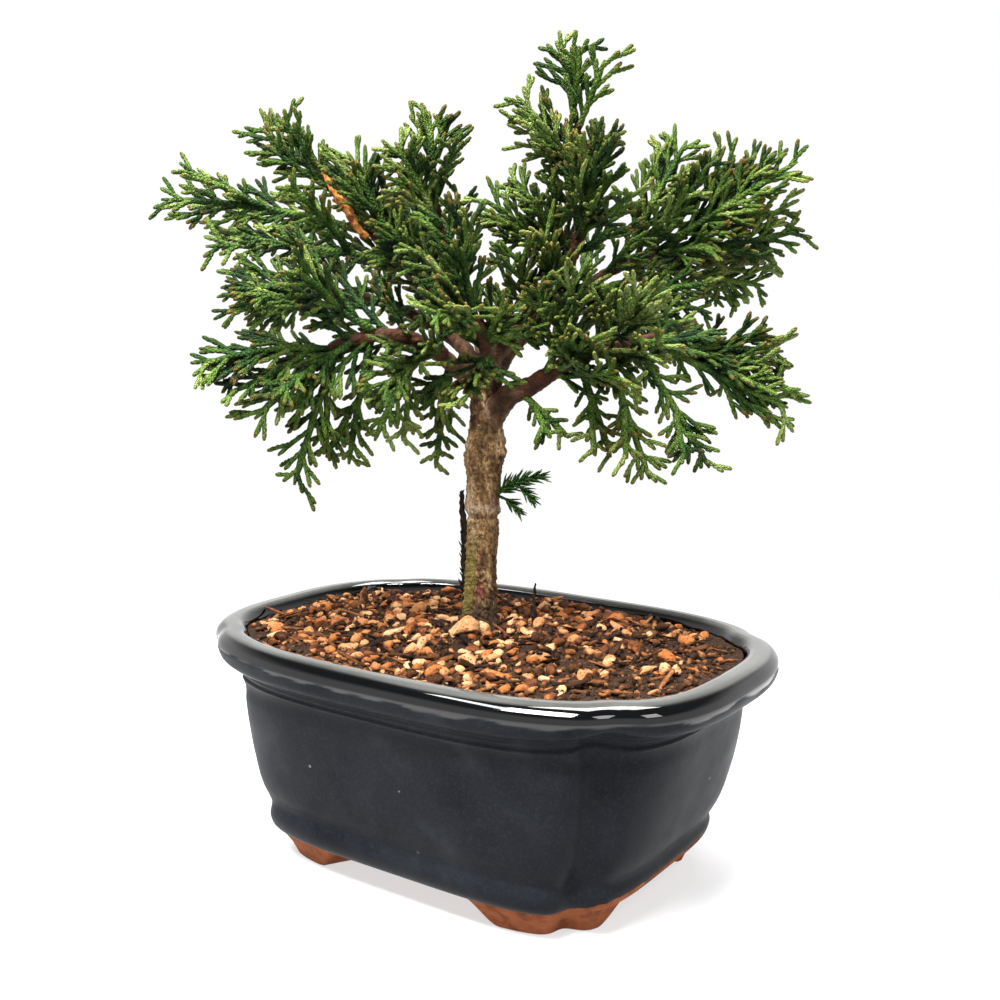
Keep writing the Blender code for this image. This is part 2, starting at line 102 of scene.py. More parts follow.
class Recipe:
    """Adds shader nodes to one material and links them as they are made."""

    def __init__(self, name, roughness, specular=0.12):
        self.material = bpy.data.materials.new(name)
        self.material.use_nodes = True
        self.tree = self.material.node_tree
        self.shader = self.tree.nodes["Principled BSDF"]
        self.shader.inputs["Roughness"].default_value = roughness
        self.shader.inputs["Specular IOR Level"].default_value = specular
        self.where = self.tree.nodes.new("ShaderNodeTexCoord").outputs["Object"]

    def put(self, socket, value):
        """Link an output to a socket, or set the socket's own number or colour."""
        if isinstance(value, bpy.types.NodeSocket):
            self.tree.links.new(value, socket)
        else:
            socket.default_value = value

    def node(self, kind, inputs, output=0, **settings):
        """Add a node, set and link its inputs, and return one output."""
        made = self.tree.nodes.new(kind)
        for key, value in settings.items():
            setattr(made, key, value)
        for key, value in inputs.items():
            self.put(made.inputs[key], value)
        return made.outputs[output]

    def noise(self, scale, detail=3.0, rough=0.55, stretch=None):
        """Cloudy noise from 0 to 1; scale is in features per metre."""
        where = self.where
        if stretch:
            where = self.node("ShaderNodeMapping", {"Vector": where, "Scale": stretch})
        return self.node(
            "ShaderNodeTexNoise",
            {"Vector": where, "Scale": scale, "Detail": detail, "Roughness": rough},
        )

    def cells(self, scale, output="Distance"):
        """Cell noise: the distance to the nearest of many scattered points, or its colour."""
        return self.node("ShaderNodeTexVoronoi", {"Vector": self.where, "Scale": scale}, output)

    def attribute(self, name):
        """A number carried on the points of the mesh."""
        return self.node("ShaderNodeAttribute", {}, "Fac", attribute_name=name)

    def ramp(self, value, *stops):
        """Turn a number into a colour: stops are (place, (r, g, b))."""
        made = self.tree.nodes.new("ShaderNodeValToRGB")
        band = made.color_ramp
        band.interpolation = "EASE"
        while len(band.elements) < len(stops):
            band.elements.new(0.5)
        for element, (place, colour) in zip(band.elements, stops):
            element.position = place
            element.color = (*colour, 1.0)
        self.put(made.inputs["Fac"], value)
        return made.outputs["Color"]

    def spread(self, value, low, high, to_low=0.0, to_high=1.0):
        """Map low..high to to_low..to_high, held at the ends."""
        inputs = {"Value": value, 1: low, 2: high, 3: to_low, 4: to_high}
        return self.node("ShaderNodeMapRange", inputs)

    def blend(self, share, first, second):
        """Mix two colours by a share from 0 to 1."""
        made = self.tree.nodes.new("ShaderNodeMix")
        made.data_type = "RGBA"
        self.put(made.inputs[0], share)
        for key, value in ((6, first), (7, second)):
            if isinstance(value, tuple) and len(value) == 3:
                value = (*value, 1.0)
            self.put(made.inputs[key], value)
        return made.outputs[2]

    def between(self, share, first, second, kind="FLOAT"):
        """Go from the first number (or way) to the second as the share goes from 0 to 1."""
        sockets, output = ((2, 3), 0) if kind == "FLOAT" else ((4, 5), 1)
        made = self.tree.nodes.new("ShaderNodeMix")
        made.data_type = kind
        for key, value in zip((0, *sockets), (share, first, second)):
            self.put(made.inputs[key], value)
        return made.outputs[output]

    def sums(self, kind, first, second):
        """One arithmetic step on two numbers."""
        return self.node("ShaderNodeMath", {0: first, 1: second}, operation=kind)

    def share(self, mark, *spread):
        """A mark on the mesh times a number, or times another value spread over a range."""
        amount = self.spread(*spread) if len(spread) > 1 else spread[0]
        return self.sums("MULTIPLY", self.attribute(mark), amount)

    def bump(self, height, distance, strength=1.0, under=None):
        """Tilt the surface by a height pattern; distance is its depth in metres."""
        inputs = {"Height": height, "Distance": distance, "Strength": strength}
        if under:
            inputs["Normal"] = under
        return self.node("ShaderNodeBump", inputs)

    def finish(self, colour=None, roughness=None, normal=None):
        """Link the results to the shader and hand back the material."""
        for key, value in (("Base Color", colour), ("Roughness", roughness), ("Normal", normal)):
            if value is not None:
                self.put(self.shader.inputs[key], value)
        return self.material


# %% [markdown]
# ## Floor and light
#
# A plain white sweep with no visible edge: close to the pot the floor is matt white
# mixed with some glow, so it takes only a faint shadow, and further out it glows as
# white as the backdrop. The sky is a vertical fade, white round the horizon and darker
# overhead, so a glossy glaze shows pale flats and black shoulders; the lip's flat top
# is also painted paler, a painted reflection. Of the four soft boxes, the key and the
# strip give the long broken highlights on the lip, and the other two fill the shadows
# and brighten the tops of the twigs.

# %% Floor
FLOOR_HALF = 3.0  # metres
SWEEP_STARTS = 0.16  # metres from the pot where the floor starts to glow like the sweep
SWEEP_ENDS = 0.42
# The glow close to the pot lightens the pot's shadow on the floor.
SWEEP_NEAR_GLOW = 0.62  # share of glow close to the pot

floor_mesh = bpy.data.meshes.new("floor")
floor_corners = [(x * FLOOR_HALF, y * FLOOR_HALF, 0.0) for x, y in ((-1, -1), (1, -1), (1, 1), (-1, 1))]
floor_mesh.from_pydata(floor_corners, [], [(0, 1, 2, 3)])
floor = bpy.data.objects.new("floor", floor_mesh)
bpy.context.collection.objects.link(floor)
sweep = Recipe("floor_paint", 0.9, 0.1)
floor_away = sweep.node("ShaderNodeVectorMath", {0: sweep.where}, "Value", operation="LENGTH")
floor_fade = sweep.node(
    "ShaderNodeMapRange",
    {"Value": floor_away, 1: SWEEP_STARTS, 2: SWEEP_ENDS, 3: SWEEP_NEAR_GLOW},
    interpolation_type="SMOOTHSTEP",
)
floor_glow = sweep.node("ShaderNodeEmission", {})
floor_mix = sweep.node("ShaderNodeMixShader", {0: floor_fade, 1: sweep.shader.outputs[0], 2: floor_glow})
sweep.put(sweep.tree.nodes["Material Output"].inputs["Surface"], floor_mix)
floor_mesh.materials.append(sweep.finish((0.93, 0.93, 0.93, 1.0)))

# %% Sky and soft boxes
SKY_FADE = ((0.34, (1.0, 1.0, 1.0, 1.0)), (0.60, (0.16, 0.165, 0.175, 1.0)))
# Bearing and height in degrees; distance, width and depth in metres; power in watts.
SOFT_BOXES = {
    "key_box": (5.0, 58.0, 1.0, 0.5, 0.3, 42.0),
    "fill_box": (75.0, 40.0, 1.3, 0.5, 0.5, 6.0),
    "top_box": (180.0, 78.0, 1.1, 0.6, 0.6, 24.0),
    "strip_box": (-32.0, 56.0, 1.0, 0.55, 0.12, 5.0),
}

world = bpy.data.worlds.new("studio")
world.use_nodes = True
bpy.context.scene.world = world
sky_tree = world.node_tree
sky_way = sky_tree.nodes.new("ShaderNodeTexCoord")
sky_split = sky_tree.nodes.new("ShaderNodeSeparateXYZ")
sky_fade = sky_tree.nodes.new("ShaderNodeValToRGB")
for stop, (place, colour) in zip(sky_fade.color_ramp.elements, SKY_FADE):
    stop.position = place
    stop.color = colour
sky_tree.links.new(sky_way.outputs["Generated"], sky_split.inputs["Vector"])
sky_tree.links.new(sky_split.outputs["Z"], sky_fade.inputs["Fac"])
sky_tree.links.new(sky_fade.outputs["Color"], sky_tree.nodes["Background"].inputs["Color"])
sky_tree.nodes["Background"].inputs["Strength"].default_value = 1.0


def add_soft_box(name, bearing, height, distance, width, depth, watts):
    """A rectangular light aimed at the tree's middle, 0.12 m above the floor."""
    light = bpy.data.lights.new(name, "AREA")
    light.shape = "RECTANGLE"
    light.size = width
    light.size_y = depth
    light.energy = watts
    lamp = bpy.data.objects.new(name, light)
    bpy.context.collection.objects.link(lamp)
    turn = math.radians(bearing)
    rise = math.radians(height)
    lamp.location = (
        distance * math.sin(turn) * math.cos(rise),
        -distance * math.cos(turn) * math.cos(rise),
        0.12 + distance * math.sin(rise),
    )
    lamp.rotation_euler = (math.radians(90.0) - rise, 0.0, turn)


for name, box in SOFT_BOXES.items():
    add_soft_box(name, *box)
bpy.context.scene.view_settings.view_transform = "Standard"
print("soft boxes:", ", ".join(SOFT_BOXES))

# %% [markdown]
# ## Shared helpers
#
# Nearly every piece is a grid of points bent into shape: one direction runs along
# the piece and the other round it. `close_round` joins the last column to the
# first, and `end_fans` closes both ends with a fan round one middle point. Attributes
# carry extra numbers on the points, such as how glossy or how old the surface is.

# %% Shared helpers


def grid_faces(rows, columns, close_round, first=0):
    """Quads between neighbouring grid points, whose index is row * columns + column."""
    row = np.arange(rows - 1)[:, None]
    column = np.arange(columns if close_round else columns - 1)[None, :]
    after = (column + 1) % columns
    corners = (
        row * columns + column,
        row * columns + after,
        (row + 1) * columns + after,
        (row + 1) * columns + column,
    )
    return np.stack(np.broadcast_arrays(*corners), axis=-1).reshape(-1, 4) + first


def fan_faces(columns, first, middle, flip):
    """Triangles from a ring of columns points, starting at first, to one middle point."""
    column = np.arange(columns)
    after = (column + 1) % columns
    pair = (after, column) if flip else (column, after)
    return np.column_stack((first + pair[0], first + pair[1], np.full(columns, middle)))


def end_fans(rows, columns):
    """Fans that close both ends of a tube; the two middle points follow the grid's points."""
    count = rows * columns
    start = fan_faces(columns, 0, count, True)
    return np.vstack((start, fan_faces(columns, count - columns, count + 1, False)))


def add_mesh(name, points, quads=None, triangles=None, attributes=None, uv=None):
    """A mesh object at the origin from points in mm, with optional point attributes.

    Quads and triangles are index arrays; uv gives one (u, v) pair for each face corner.
    """
    mesh = bpy.data.meshes.new(name)
    points = to_frame(points)
    quads = np.zeros((0, 4), int) if quads is None else np.asarray(quads, int)
    triangles = np.zeros((0, 3), int) if triangles is None else np.asarray(triangles, int)
    corners = np.concatenate((quads.ravel(), triangles.ravel())).astype(np.int32)
    sizes = np.concatenate((np.full(len(quads), 4), np.full(len(triangles), 3)))
    mesh.vertices.add(len(points))
    mesh.vertices.foreach_set("co", points.ravel())
    mesh.loops.add(len(corners))
    mesh.loops.foreach_set("vertex_index", corners)
    mesh.polygons.add(len(sizes))
    starts = np.concatenate(((0,), np.cumsum(sizes)[:-1])).astype(np.int32)
    mesh.polygons.foreach_set("loop_start", starts)
    mesh.polygons.foreach_set("use_smooth", np.ones(len(sizes), bool))
    mesh.update(calc_edges=True)
    for key, values in (attributes or {}).items():
        layer = mesh.attributes.new(key, "FLOAT", "POINT")
        layer.data.foreach_set("value", np.asarray(values, np.float32).ravel())
    if uv is not None:
        layer = mesh.uv_layers.new(name="UVMap")
        layer.data.foreach_set("uv", np.asarray(uv, np.float32).ravel())
    piece = bpy.data.objects.new(name, mesh)
    bpy.context.collection.objects.link(piece)
    return piece


def finish_piece(piece, paint, node):
    """Give a piece its finish and its place on the body, and hide the CAD part of its node."""
    piece.data.materials.append(paint)
    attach(piece, "root")
    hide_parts(node)
    print(f"{piece.name}: {len(piece.data.polygons)} faces")


def smooth_step(value, low, high):
    """0 below low, 1 above high, 3t^2 - 2t^3 between them."""
    share = np.clip((value - low) / (high - low), 0.0, 1.0)
    return share * share * (3.0 - 2.0 * share)


def bell(value, spread):
    """A bell curve of height 1: exp(-(value / spread)^2)."""
    return np.exp(-((value / spread) ** 2))


def ripple(u, v, seed, waves=6, low=1.0, high=4.0):
    """A smooth random sheet from -1 to 1: the mean of sine waves of random pitch and way."""
    chance = np.random.default_rng(seed)
    total = np.zeros(np.broadcast(u, v).shape)
    for _ in range(waves):
        turn, pitch, phase = chance.uniform((0, low, 0), (np.pi, high, 2 * np.pi))
        total = total + np.sin(pitch * (u * np.cos(turn) + v * np.sin(turn)) + phase)
    return total / waves


# %% [markdown]
# ## Pot: shape
#
# The pot is one fired piece with a squared oval plan and a soft dent at each
# corner, which potters call a mokko outline. Its surface is one profile, from the
# soles over the lip to the floor inside, carried round that outline. Each row of
# the profile gives a height, half the length, half the width and how square the
# plan is there, so wall, ridges, lip and skirt all come from one table.

# %% Pot outline and profile
POT_COLUMNS = 440
CORNER_ANGLE = 0.73  # radians from the pot's length to a dent's middle
CORNER_SPREAD = 0.074
CORNER_DENT = 0.060  # share of the reach that a dent takes away

# Height, half length, half width and squareness, from the base up over the lip.
OUTER_ROWS = (
    (7.8, 54.6, 40.4, 4.4),
    (8.1, 55.5, 41.3, 4.35),
    (9.0, 56.5, 42.2, 4.3),
    (10.6, 57.3, 43.0, 4.2),
    (12.4, 57.7, 43.4, 4.1),
    (13.8, 57.5, 43.1, 4.1),
    (15.2, 57.8, 42.5, 4.1),
    (17.0, 59.0, 42.7, 4.05),
    (20.0, 60.6, 43.7, 4.0),
    (28.0, 63.5, 45.2, 3.8),
    (36.0, 65.7, 46.4, 3.6),
    (44.0, 67.2, 47.6, 3.4),
    (48.6, 68.0, 48.4, 3.2),
    (49.7, 68.4, 48.8, 3.2),
    (50.3, 69.0, 49.4, 3.1),
    (50.9, 68.7, 49.2, 3.1),
    (51.4, 68.9, 49.4, 3.05),
    (52.1, 69.9, 50.3, 3.0),
    (52.7, 69.9, 50.3, 3.0),
    (53.4, 71.6, 51.1, 2.95),
    (54.2, 74.6, 52.4, 2.9),
    (55.4, 76.6, 53.5, 2.85),
    (57.2, 77.7, 54.1, 2.8),
    (59.2, 78.0, 54.3, 2.8),
    (60.4, 77.7, 54.0, 2.8),
    (61.4, 77.0, 53.3, 2.8),
    (62.2, 76.1, 52.4, 2.8),
    (62.6, 75.0, 51.4, 2.8),
    (62.75, 73.8, 50.3, 2.85),
    (62.75, 72.4, 49.1, 2.9),
)
# The same, from the lip down to the floor inside.
INNER_ROWS = (
    (62.7, 71.2, 48.0, 2.9),
    (62.4, 70.4, 47.3, 2.9),
    (61.6, 69.8, 46.8, 2.95),
    (60.4, 69.3, 46.4, 3.0),
    (58.6, 68.8, 46.0, 3.0),
    (52.0, 65.4, 45.0, 3.2),
    (40.0, 62.8, 42.8, 3.6),
    (28.0, 59.6, 41.2, 3.8),
    (17.0, 55.4, 39.0, 4.0),
    (13.4, 52.0, 35.6, 4.0),
    (12.3, 46.0, 29.6, 3.6),
    (12.2, 40.0, 25.0, 3.2),
)
OUTER_COUNT = 150  # rings up the outside of the wall and over the lip
INNER_COUNT = 34
BASE_HEIGHT = 7.8
FLOOR_TOP = 12.2
FOOT_FLAT_BEYOND = (32.0, 25.0)
FOOT_RISES_AT = (21.0, 15.5)
FRONT_RIGHT = (0.57, -0.82)  # the way to the corner where most glaze ran down
LIP_RISES = (52.0, 58.0)  # heights between which the wall turns into the lip


def run_along(places):
    """Distance along a line of places, from its start to each of them."""
    return np.concatenate(((0.0,), np.cumsum(np.linalg.norm(np.diff(places, axis=0), axis=1))))


def smooth_rows(table, count):
    """Rows evenly spread along a smooth curve through a table's rows.

    Each stretch is a Hermite cubic whose end slopes are the mean of its neighbours'.
    """
    table = np.asarray(table, float)
    run = run_along(table[:, :3])
    slope = np.gradient(table, run, axis=0)
    place = np.linspace(0.0, run[-1], count)
    part = np.clip(np.searchsorted(run, place, side="right") - 1, 0, len(run) - 2)
    width = (run[part + 1] - run[part])[:, None]
    share = ((place - run[part]) / width[:, 0])[:, None]
    start, end = table[part], table[part + 1]
    rise_in, rise_out = slope[part] * width, slope[part + 1] * width
    square, cube = share**2, share**3
    return (
        (2 * cube - 3 * square + 1) * start
        + (cube - 2 * square + share) * rise_in
        + (3 * square - 2 * cube) * end
        + (cube - square) * rise_out
    )


def corner_share(turn, spread=CORNER_SPREAD):
    """A bell at each of the four corners, from the angle round the outline."""
    corner = np.arctan2(np.abs(np.sin(turn)), np.abs(np.cos(turn)))
    return bell(corner - CORNER_ANGLE, spread)


def outline(half_length, half_width, squareness, turn, dent=CORNER_DENT):
    """Points of the plan: r = (|cos|^n + |sin|^n)^(-1/n), cut back at the corners."""
    across, along = np.cos(turn), np.sin(turn)
    radius = (np.abs(across) ** squareness + np.abs(along) ** squareness) ** (-1.0 / squareness)
    radius = radius * (1.0 - dent * corner_share(turn))
    return half_length * radius * across, half_width * radius * along


def dent_at(height):
    """How deep the corners are drawn in: fully on the wall, and far less on the lip."""
    return CORNER_DENT * (1.0 - 0.72 * smooth_step(height, *LIP_RISES))


def foot_share(x, y):
    """1 where a bracket foot reaches the ground and 0 where the base is bare."""
    share_x = smooth_step(np.abs(x), FOOT_RISES_AT[0], FOOT_FLAT_BEYOND[0])
    share_y = smooth_step(np.abs(y), FOOT_RISES_AT[1], FOOT_FLAT_BEYOND[1])
    return share_x * share_y


pot_turn = np.linspace(0.0, 2.0 * np.pi, POT_COLUMNS, endpoint=False)[None, :]
print("pot outline:", POT_COLUMNS, "points round")

# %% [markdown]
# The feet are let down from the base edge. Where `foot_share` is 1 a ring goes
# all the way to the ground and draws in a little; where it is 0 the ring stays in
# the plane of the base. A few such rings, each with its own inset and drop, make the
# inside, the sole and the outside of all four feet at once.

# %% Pot grid
WOBBLE_SEED = 11  # one seed for both sides of the wall, so that they wave together


def wall_rows(table, count):
    """Grid of one side of the wall, with the slight waviness of hand-pressed clay."""
    rows = smooth_rows(table, count)
    height, length, width, square = (rows[:, k : k + 1] for k in range(4))
    lip = smooth_step(height, *LIP_RISES)
    x, y = outline(length, width, square, pot_turn, dent_at(height))
    across, along = np.cos(pot_turn), np.sin(pot_turn)
    wave = ripple(across * 2.2, along * 2.2 + height * 0.04, WOBBLE_SEED, 7, 1.0, 3.2)
    swell = 1.0 + (0.20 + 0.42 * lip) * wave / np.hypot(x, y)
    cusp = corner_share(pot_turn, 0.16) * bell(height - 53.0, 3.6) * 1.3
    rise = 0.34 * lip * ripple(across * 3.0, along * 3.0, WOBBLE_SEED + 1, 6)
    return np.stack((x * swell, y * swell, height + cusp + rise + 0 * x), axis=-1)


def foot_rows():
    """Rings under the base: drawn in by inset + splay * share, let down by drop * share."""
    _, length, width, square = OUTER_ROWS[0]
    share = foot_share(*outline(length, width, square, pot_turn))
    rows = []
    for inset, splay, drop in FOOT_RINGS:
        pull = inset + splay * share
        x, y = outline(length - pull, width - pull, square, pot_turn)
        z = BASE_HEIGHT * (1.0 - share * drop)
        rows.append(np.stack((x, y, z), axis=-1))
    return np.concatenate(rows)


# Inset in mm, splay in mm and share of the drop to the ground, from the inside out.
FOOT_RINGS = (
    (13.0, 4.2, 0.0),
    (10.4, 4.2, 0.02),
    (9.6, 4.2, 0.55),
    (9.0, 4.0, 1.0),
    (0.9, 3.6, 1.0),
    (0.5, 3.1, 0.94),
    (0.4, 2.7, 0.78),
    (0.4, 2.0, 0.56),
    (0.3, 1.1, 0.34),
    (0.1, 0.4, 0.17),
    (0.0, 0.1, 0.05),
)
pot_rows = np.concatenate(
    (foot_rows(), wall_rows(OUTER_ROWS, OUTER_COUNT), wall_rows(INNER_ROWS, INNER_COUNT))
)
row_count = len(pot_rows)
pot_points = np.vstack((pot_rows.reshape(-1, 3), ((0.0, 0.0, BASE_HEIGHT), (0.0, 0.0, FLOOR_TOP))))
pot_quads = grid_faces(row_count, POT_COLUMNS, True)
pot_fans = end_fans(row_count, POT_COLUMNS)


def pot_numbers():
    """Where the clay is bare, where the glaze is a mirror and where the lip's top gets a painted
    reflection, from 0 to 1.
    """
    x, y, height = pot_points.T
    row = np.arange(len(pot_points)) // POT_COLUMNS
    first_wall = len(FOOT_RINGS)
    first_inner = first_wall + OUTER_COUNT
    outside = (row >= first_wall) & (row < first_inner)
    ends = smooth_step(np.abs(x), 46.0, 56.0)
    glaze_stops = 7.9 + 2.7 * ends + 0.25 * ripple(x * 0.3, y * 0.3, 5)
    bare = (row < first_wall) | (outside & (height < glaze_stops))
    drips = ripple(x * 0.11, y * 0.11, 6, 9, 1.0, 5.0)
    front_share = smooth_step(FRONT_RIGHT[0] * x + FRONT_RIGHT[1] * y, -20.0, 50.0)
    gloss = smooth_step(height + 2.2 * drips + 1.5 * front_share, 59.6, 60.0) * outside
    gloss = np.where((row >= first_inner) & (height > 40), 1.0, gloss)
    # The lip's flat top, where a paler grey is painted as a reflection.
    lip_top_reflection = smooth_step(height, 62.1, 62.6)
    return {"bare": bare, "gloss": gloss, "lip_top_reflection": lip_top_reflection}


pot = add_mesh("pot_body", pot_points, pot_quads, pot_fans, pot_numbers())
print("pot grid", row_count, "x", POT_COLUMNS)

# %% [markdown]
# Two drain holes go through the floor. They are the one place where cutting is
# simpler than bending a grid, so two short rods are subtracted and removed again.

# %% Drain holes
DRAIN_RADIUS = 4.0
DRAIN_X = 25.0
DRAIN_SIDES = 48
ROD_ENDS = (4.0, 16.0)  # heights of the rods' ends, below and above the floor
hole_turn = np.linspace(0.0, 2.0 * np.pi, DRAIN_SIDES, endpoint=False)
for side in (-1, 1):
    circle = np.column_stack(
        (side * DRAIN_X + DRAIN_RADIUS * np.cos(hole_turn), DRAIN_RADIUS * np.sin(hole_turn))
    )
    rims = [np.column_stack((circle, np.full(DRAIN_SIDES, level))) for level in ROD_ENDS]
    middles = [(side * DRAIN_X, 0.0, level) for level in ROD_ENDS]
    rod_fans = end_fans(2, DRAIN_SIDES)
    rod = add_mesh("drain_rod", np.vstack((*rims, middles)), grid_faces(2, DRAIN_SIDES, True), rod_fans)
    cut = pot.modifiers.new("drain", "BOOLEAN")
    cut.operation = "DIFFERENCE"
    cut.solver = "EXACT"
    cut.object = rod
    with bpy.context.temp_override(object=pot, active_object=pot):
        bpy.ops.object.modifier_apply(modifier=cut.name)
    bpy.data.objects.remove(rod, do_unlink=True)
print("pot after drilling:", len(pot.data.polygons), "faces")

# %% [markdown]
# ## Pot: glaze and clay
#
# The wall wears a satin blue-black glaze with faint clouds and pinprick specks.
# It ran thicker on the lip and fired there to a black mirror. The feet were left
# bare and show orange-brown terracotta. The numbers `bare` and `gloss` on the points
# say which is where, and a little noise roughens the line between clay and glaze.
# A third number marks the lip's flat top, which is painted a paler grey: a painted
# reflection of the white surroundings.

# %% Pot finish
glaze = Recipe("pot_glaze", 0.35)
edge_noise = glaze.spread(glaze.noise(700.0, 4.0), 0.2, 0.8, -0.25, 0.25)
is_bare = glaze.spread(glaze.sums("ADD", glaze.attribute("bare"), edge_noise), 0.45, 0.55)
is_gloss = glaze.attribute("gloss")
clouds = glaze.noise(38.0, 6.0, 0.62)
wall_colour = glaze.ramp(
    clouds,
    (0.30, (0.0032, 0.0038, 0.0054)),
    (0.52, (0.0068, 0.0078, 0.0100)),
    (0.75, (0.0150, 0.0168, 0.0200)),
)
speck_dots = glaze.spread(glaze.cells(330.0), 0.16, 0.10)
speck_pick = glaze.spread(glaze.cells(330.0, output="Color"), 0.90, 0.94)
mottle = glaze.spread(glaze.noise(1400.0, 4.0, 0.7), 0.50, 0.75, 0.0, 0.40)
wall_colour = glaze.blend(mottle, wall_colour, (0.0240, 0.0260, 0.0295))
specks = glaze.sums("MULTIPLY", speck_dots, speck_pick)
wall_colour = glaze.blend(glaze.sums("MULTIPLY", specks, 0.5), wall_colour, (0.22, 0.24, 0.25))
lip_colour = glaze.ramp(clouds, (0.3, (0.0003, 0.0003, 0.0004)), (0.8, (0.0010, 0.0011, 0.0014)))
# Painted reflection: the lip's flat top is painted a paler grey.
lip_top_reflection_share = glaze.share("lip_top_reflection", clouds, 0.3, 0.6, 0.55, 1.0)
lip_colour = glaze.blend(lip_top_reflection_share, lip_colour, (0.068, 0.068, 0.063))
glazed = glaze.blend(is_gloss, wall_colour, lip_colour)
terracotta = glaze.ramp(
    glaze.noise(160.0, 5.0, 0.6),
    (0.28, (0.095, 0.029, 0.013)),
    (0.55, (0.185, 0.058, 0.024)),
    (0.80, (0.290, 0.110, 0.052)),
)
pits = glaze.spread(glaze.cells(1400.0), 0.05, 0.35)
terracotta = glaze.blend(glaze.spread(pits, 0.0, 1.0, 0.35, 0.0), terracotta, (0.05, 0.018, 0.010))
pot_colour = glaze.blend(is_bare, glazed, terracotta)
satin = glaze.spread(glaze.noise(95.0, 5.0), 0.25, 0.75, 0.33, 0.46)
glazed_rough = glaze.between(is_gloss, satin, 0.07)
pot_rough = glaze.between(is_bare, glazed_rough, 0.82)
orange_peel = glaze.bump(glaze.noise(260.0, 3.0), 0.00010, 0.5)
glaze_skin = glaze.bump(glaze.noise(1500.0, 2.0), 0.00002, 0.5, orange_peel)
clay_skin = glaze.bump(glaze.noise(2600.0, 3.0), 0.00012, 0.9)
pot_skin = glaze.between(is_bare, glaze_skin, clay_skin, "VECTOR")
glaze_finish = glaze.finish(pot_colour, pot_rough, pot_skin)
glaze.shader.inputs["Specular IOR Level"].default_value = 0.11
glaze.shader.inputs["IOR"].default_value = 1.28
glaze.shader.inputs["Coat Roughness"].default_value = 0.05
glaze.shader.inputs["Coat IOR"].default_value = 1.52
coat_share = glaze.sums("MULTIPLY", is_gloss, glaze.spread(is_bare, 0.0, 1.0, 1.0, 0.0))
glaze.put(glaze.shader.inputs["Coat Weight"], coat_share)
finish_piece(pot, glaze_finish, "pot")

# %% [markdown]
# ## Soil
#
# The fill is a low mound of dark bark mulch. It could be one bumpy texture, but the
# edge of every chip shows against the lip, so the bed is a fine grid with real
# lumps and the loose pieces on it are real solids. The bed's height is one function
# of place, so that anything laid on it knows how high to lie.

# %% Soil bed
SOIL_EDGE = 59.9
SOIL_MOUND = 1.9
SOIL_ROWS = 150
SOIL_COLUMNS = 420
SOIL_WALL = (
    (12.6, 45.4, 29.0, 3.6),
    (13.8, 51.4, 35.0, 4.0),
    (17.4, 54.8, 38.4, 4.0),
    (28.4, 59.0, 40.6, 3.8),
    (40.4, 62.2, 42.2, 3.6),
    (52.4, 64.8, 44.4, 3.2),
    (57.4, 67.6, 45.0, 3.05),
)
SOIL_REACH = (73.6, 50.0)  # half length and half width where the mound has run out
SOIL_RIM = (68.7, 45.7, 3.0)  # just inside the lip: half length, half width, squareness
SCATTER_RIM = (68.2, 45.2, 3.0)
# Height, width and seed of each size of lump.
SOIL_LUMPS = ((1.6, 9.0, 21), (1.12, 3.4, 22), (0.54, 1.3, 23))
TRUNK_FOOT = (-5.7, 5.3)


def value_noise(x, y, cell, seed):
    """Smooth random heights from 0 to 1: corner values of a square lattice, blended."""
    corners = np.random.default_rng(seed).random((256, 256))
    column, row = np.floor(x / cell).astype(int), np.floor(y / cell).astype(int)
    across, along = x / cell - column, y / cell - row
    across, along = (share * share * (3.0 - 2.0 * share) for share in (across, along))
    column, after = column % 256, (column + 1) % 256
    low, high = (
        corners[column, line % 256] * (1 - across) + corners[after, line % 256] * across
        for line in (row, row + 1)
    )
    return low * (1.0 - along) + high * along


def soil_level(x, y):
    """Edge height + mound (1 - r^2) + a rise round the trunk + three sizes of lumps."""
    away = np.clip(np.hypot(x / SOIL_REACH[0], y / SOIL_REACH[1]), 0.0, 1.0)
    lumps = sum(high * (value_noise(x, y, wide, seed) - 0.5) for high, wide, seed in SOIL_LUMPS)
    rise = 0.8 * bell(np.hypot(x - TRUNK_FOOT[0], y - TRUNK_FOOT[1]), 10.0)
    return SOIL_EDGE + SOIL_MOUND * (1.0 - away**2) + rise + lumps * (1.0 - 0.5 * away**6)


soil_turn = np.linspace(0.0, 2.0 * np.pi, SOIL_COLUMNS, endpoint=False)[None, :]
soil_rim_x, soil_rim_y = outline(*SOIL_RIM, soil_turn, dent_at(SOIL_EDGE))
soil_share = np.linspace(1.0, 0.006, SOIL_ROWS)[:, None] ** 0.9
soil_x, soil_y = soil_rim_x * soil_share, soil_rim_y * soil_share
soil_top = np.stack((soil_x, soil_y, soil_level(soil_x, soil_y)), axis=-1)
soil_side = [
    np.stack((*outline(*plan, soil_turn, dent_at(height)), np.full((1, SOIL_COLUMNS), height)), axis=-1)
    for height, *plan in SOIL_WALL
]
soil_rows = np.concatenate((*soil_side, soil_top))
soil_count = len(soil_rows)
soil_ends = ((0.0, 0.0, SOIL_WALL[0][0]), (0.0, 0.0, float(soil_level(0.0, 0.0))))
soil_points = np.vstack((soil_rows.reshape(-1, 3), soil_ends))
soil_fans = end_fans(soil_count, SOIL_COLUMNS)
soil = add_mesh("soil_bed", soil_points, grid_faces(soil_count, SOIL_COLUMNS, True), soil_fans)

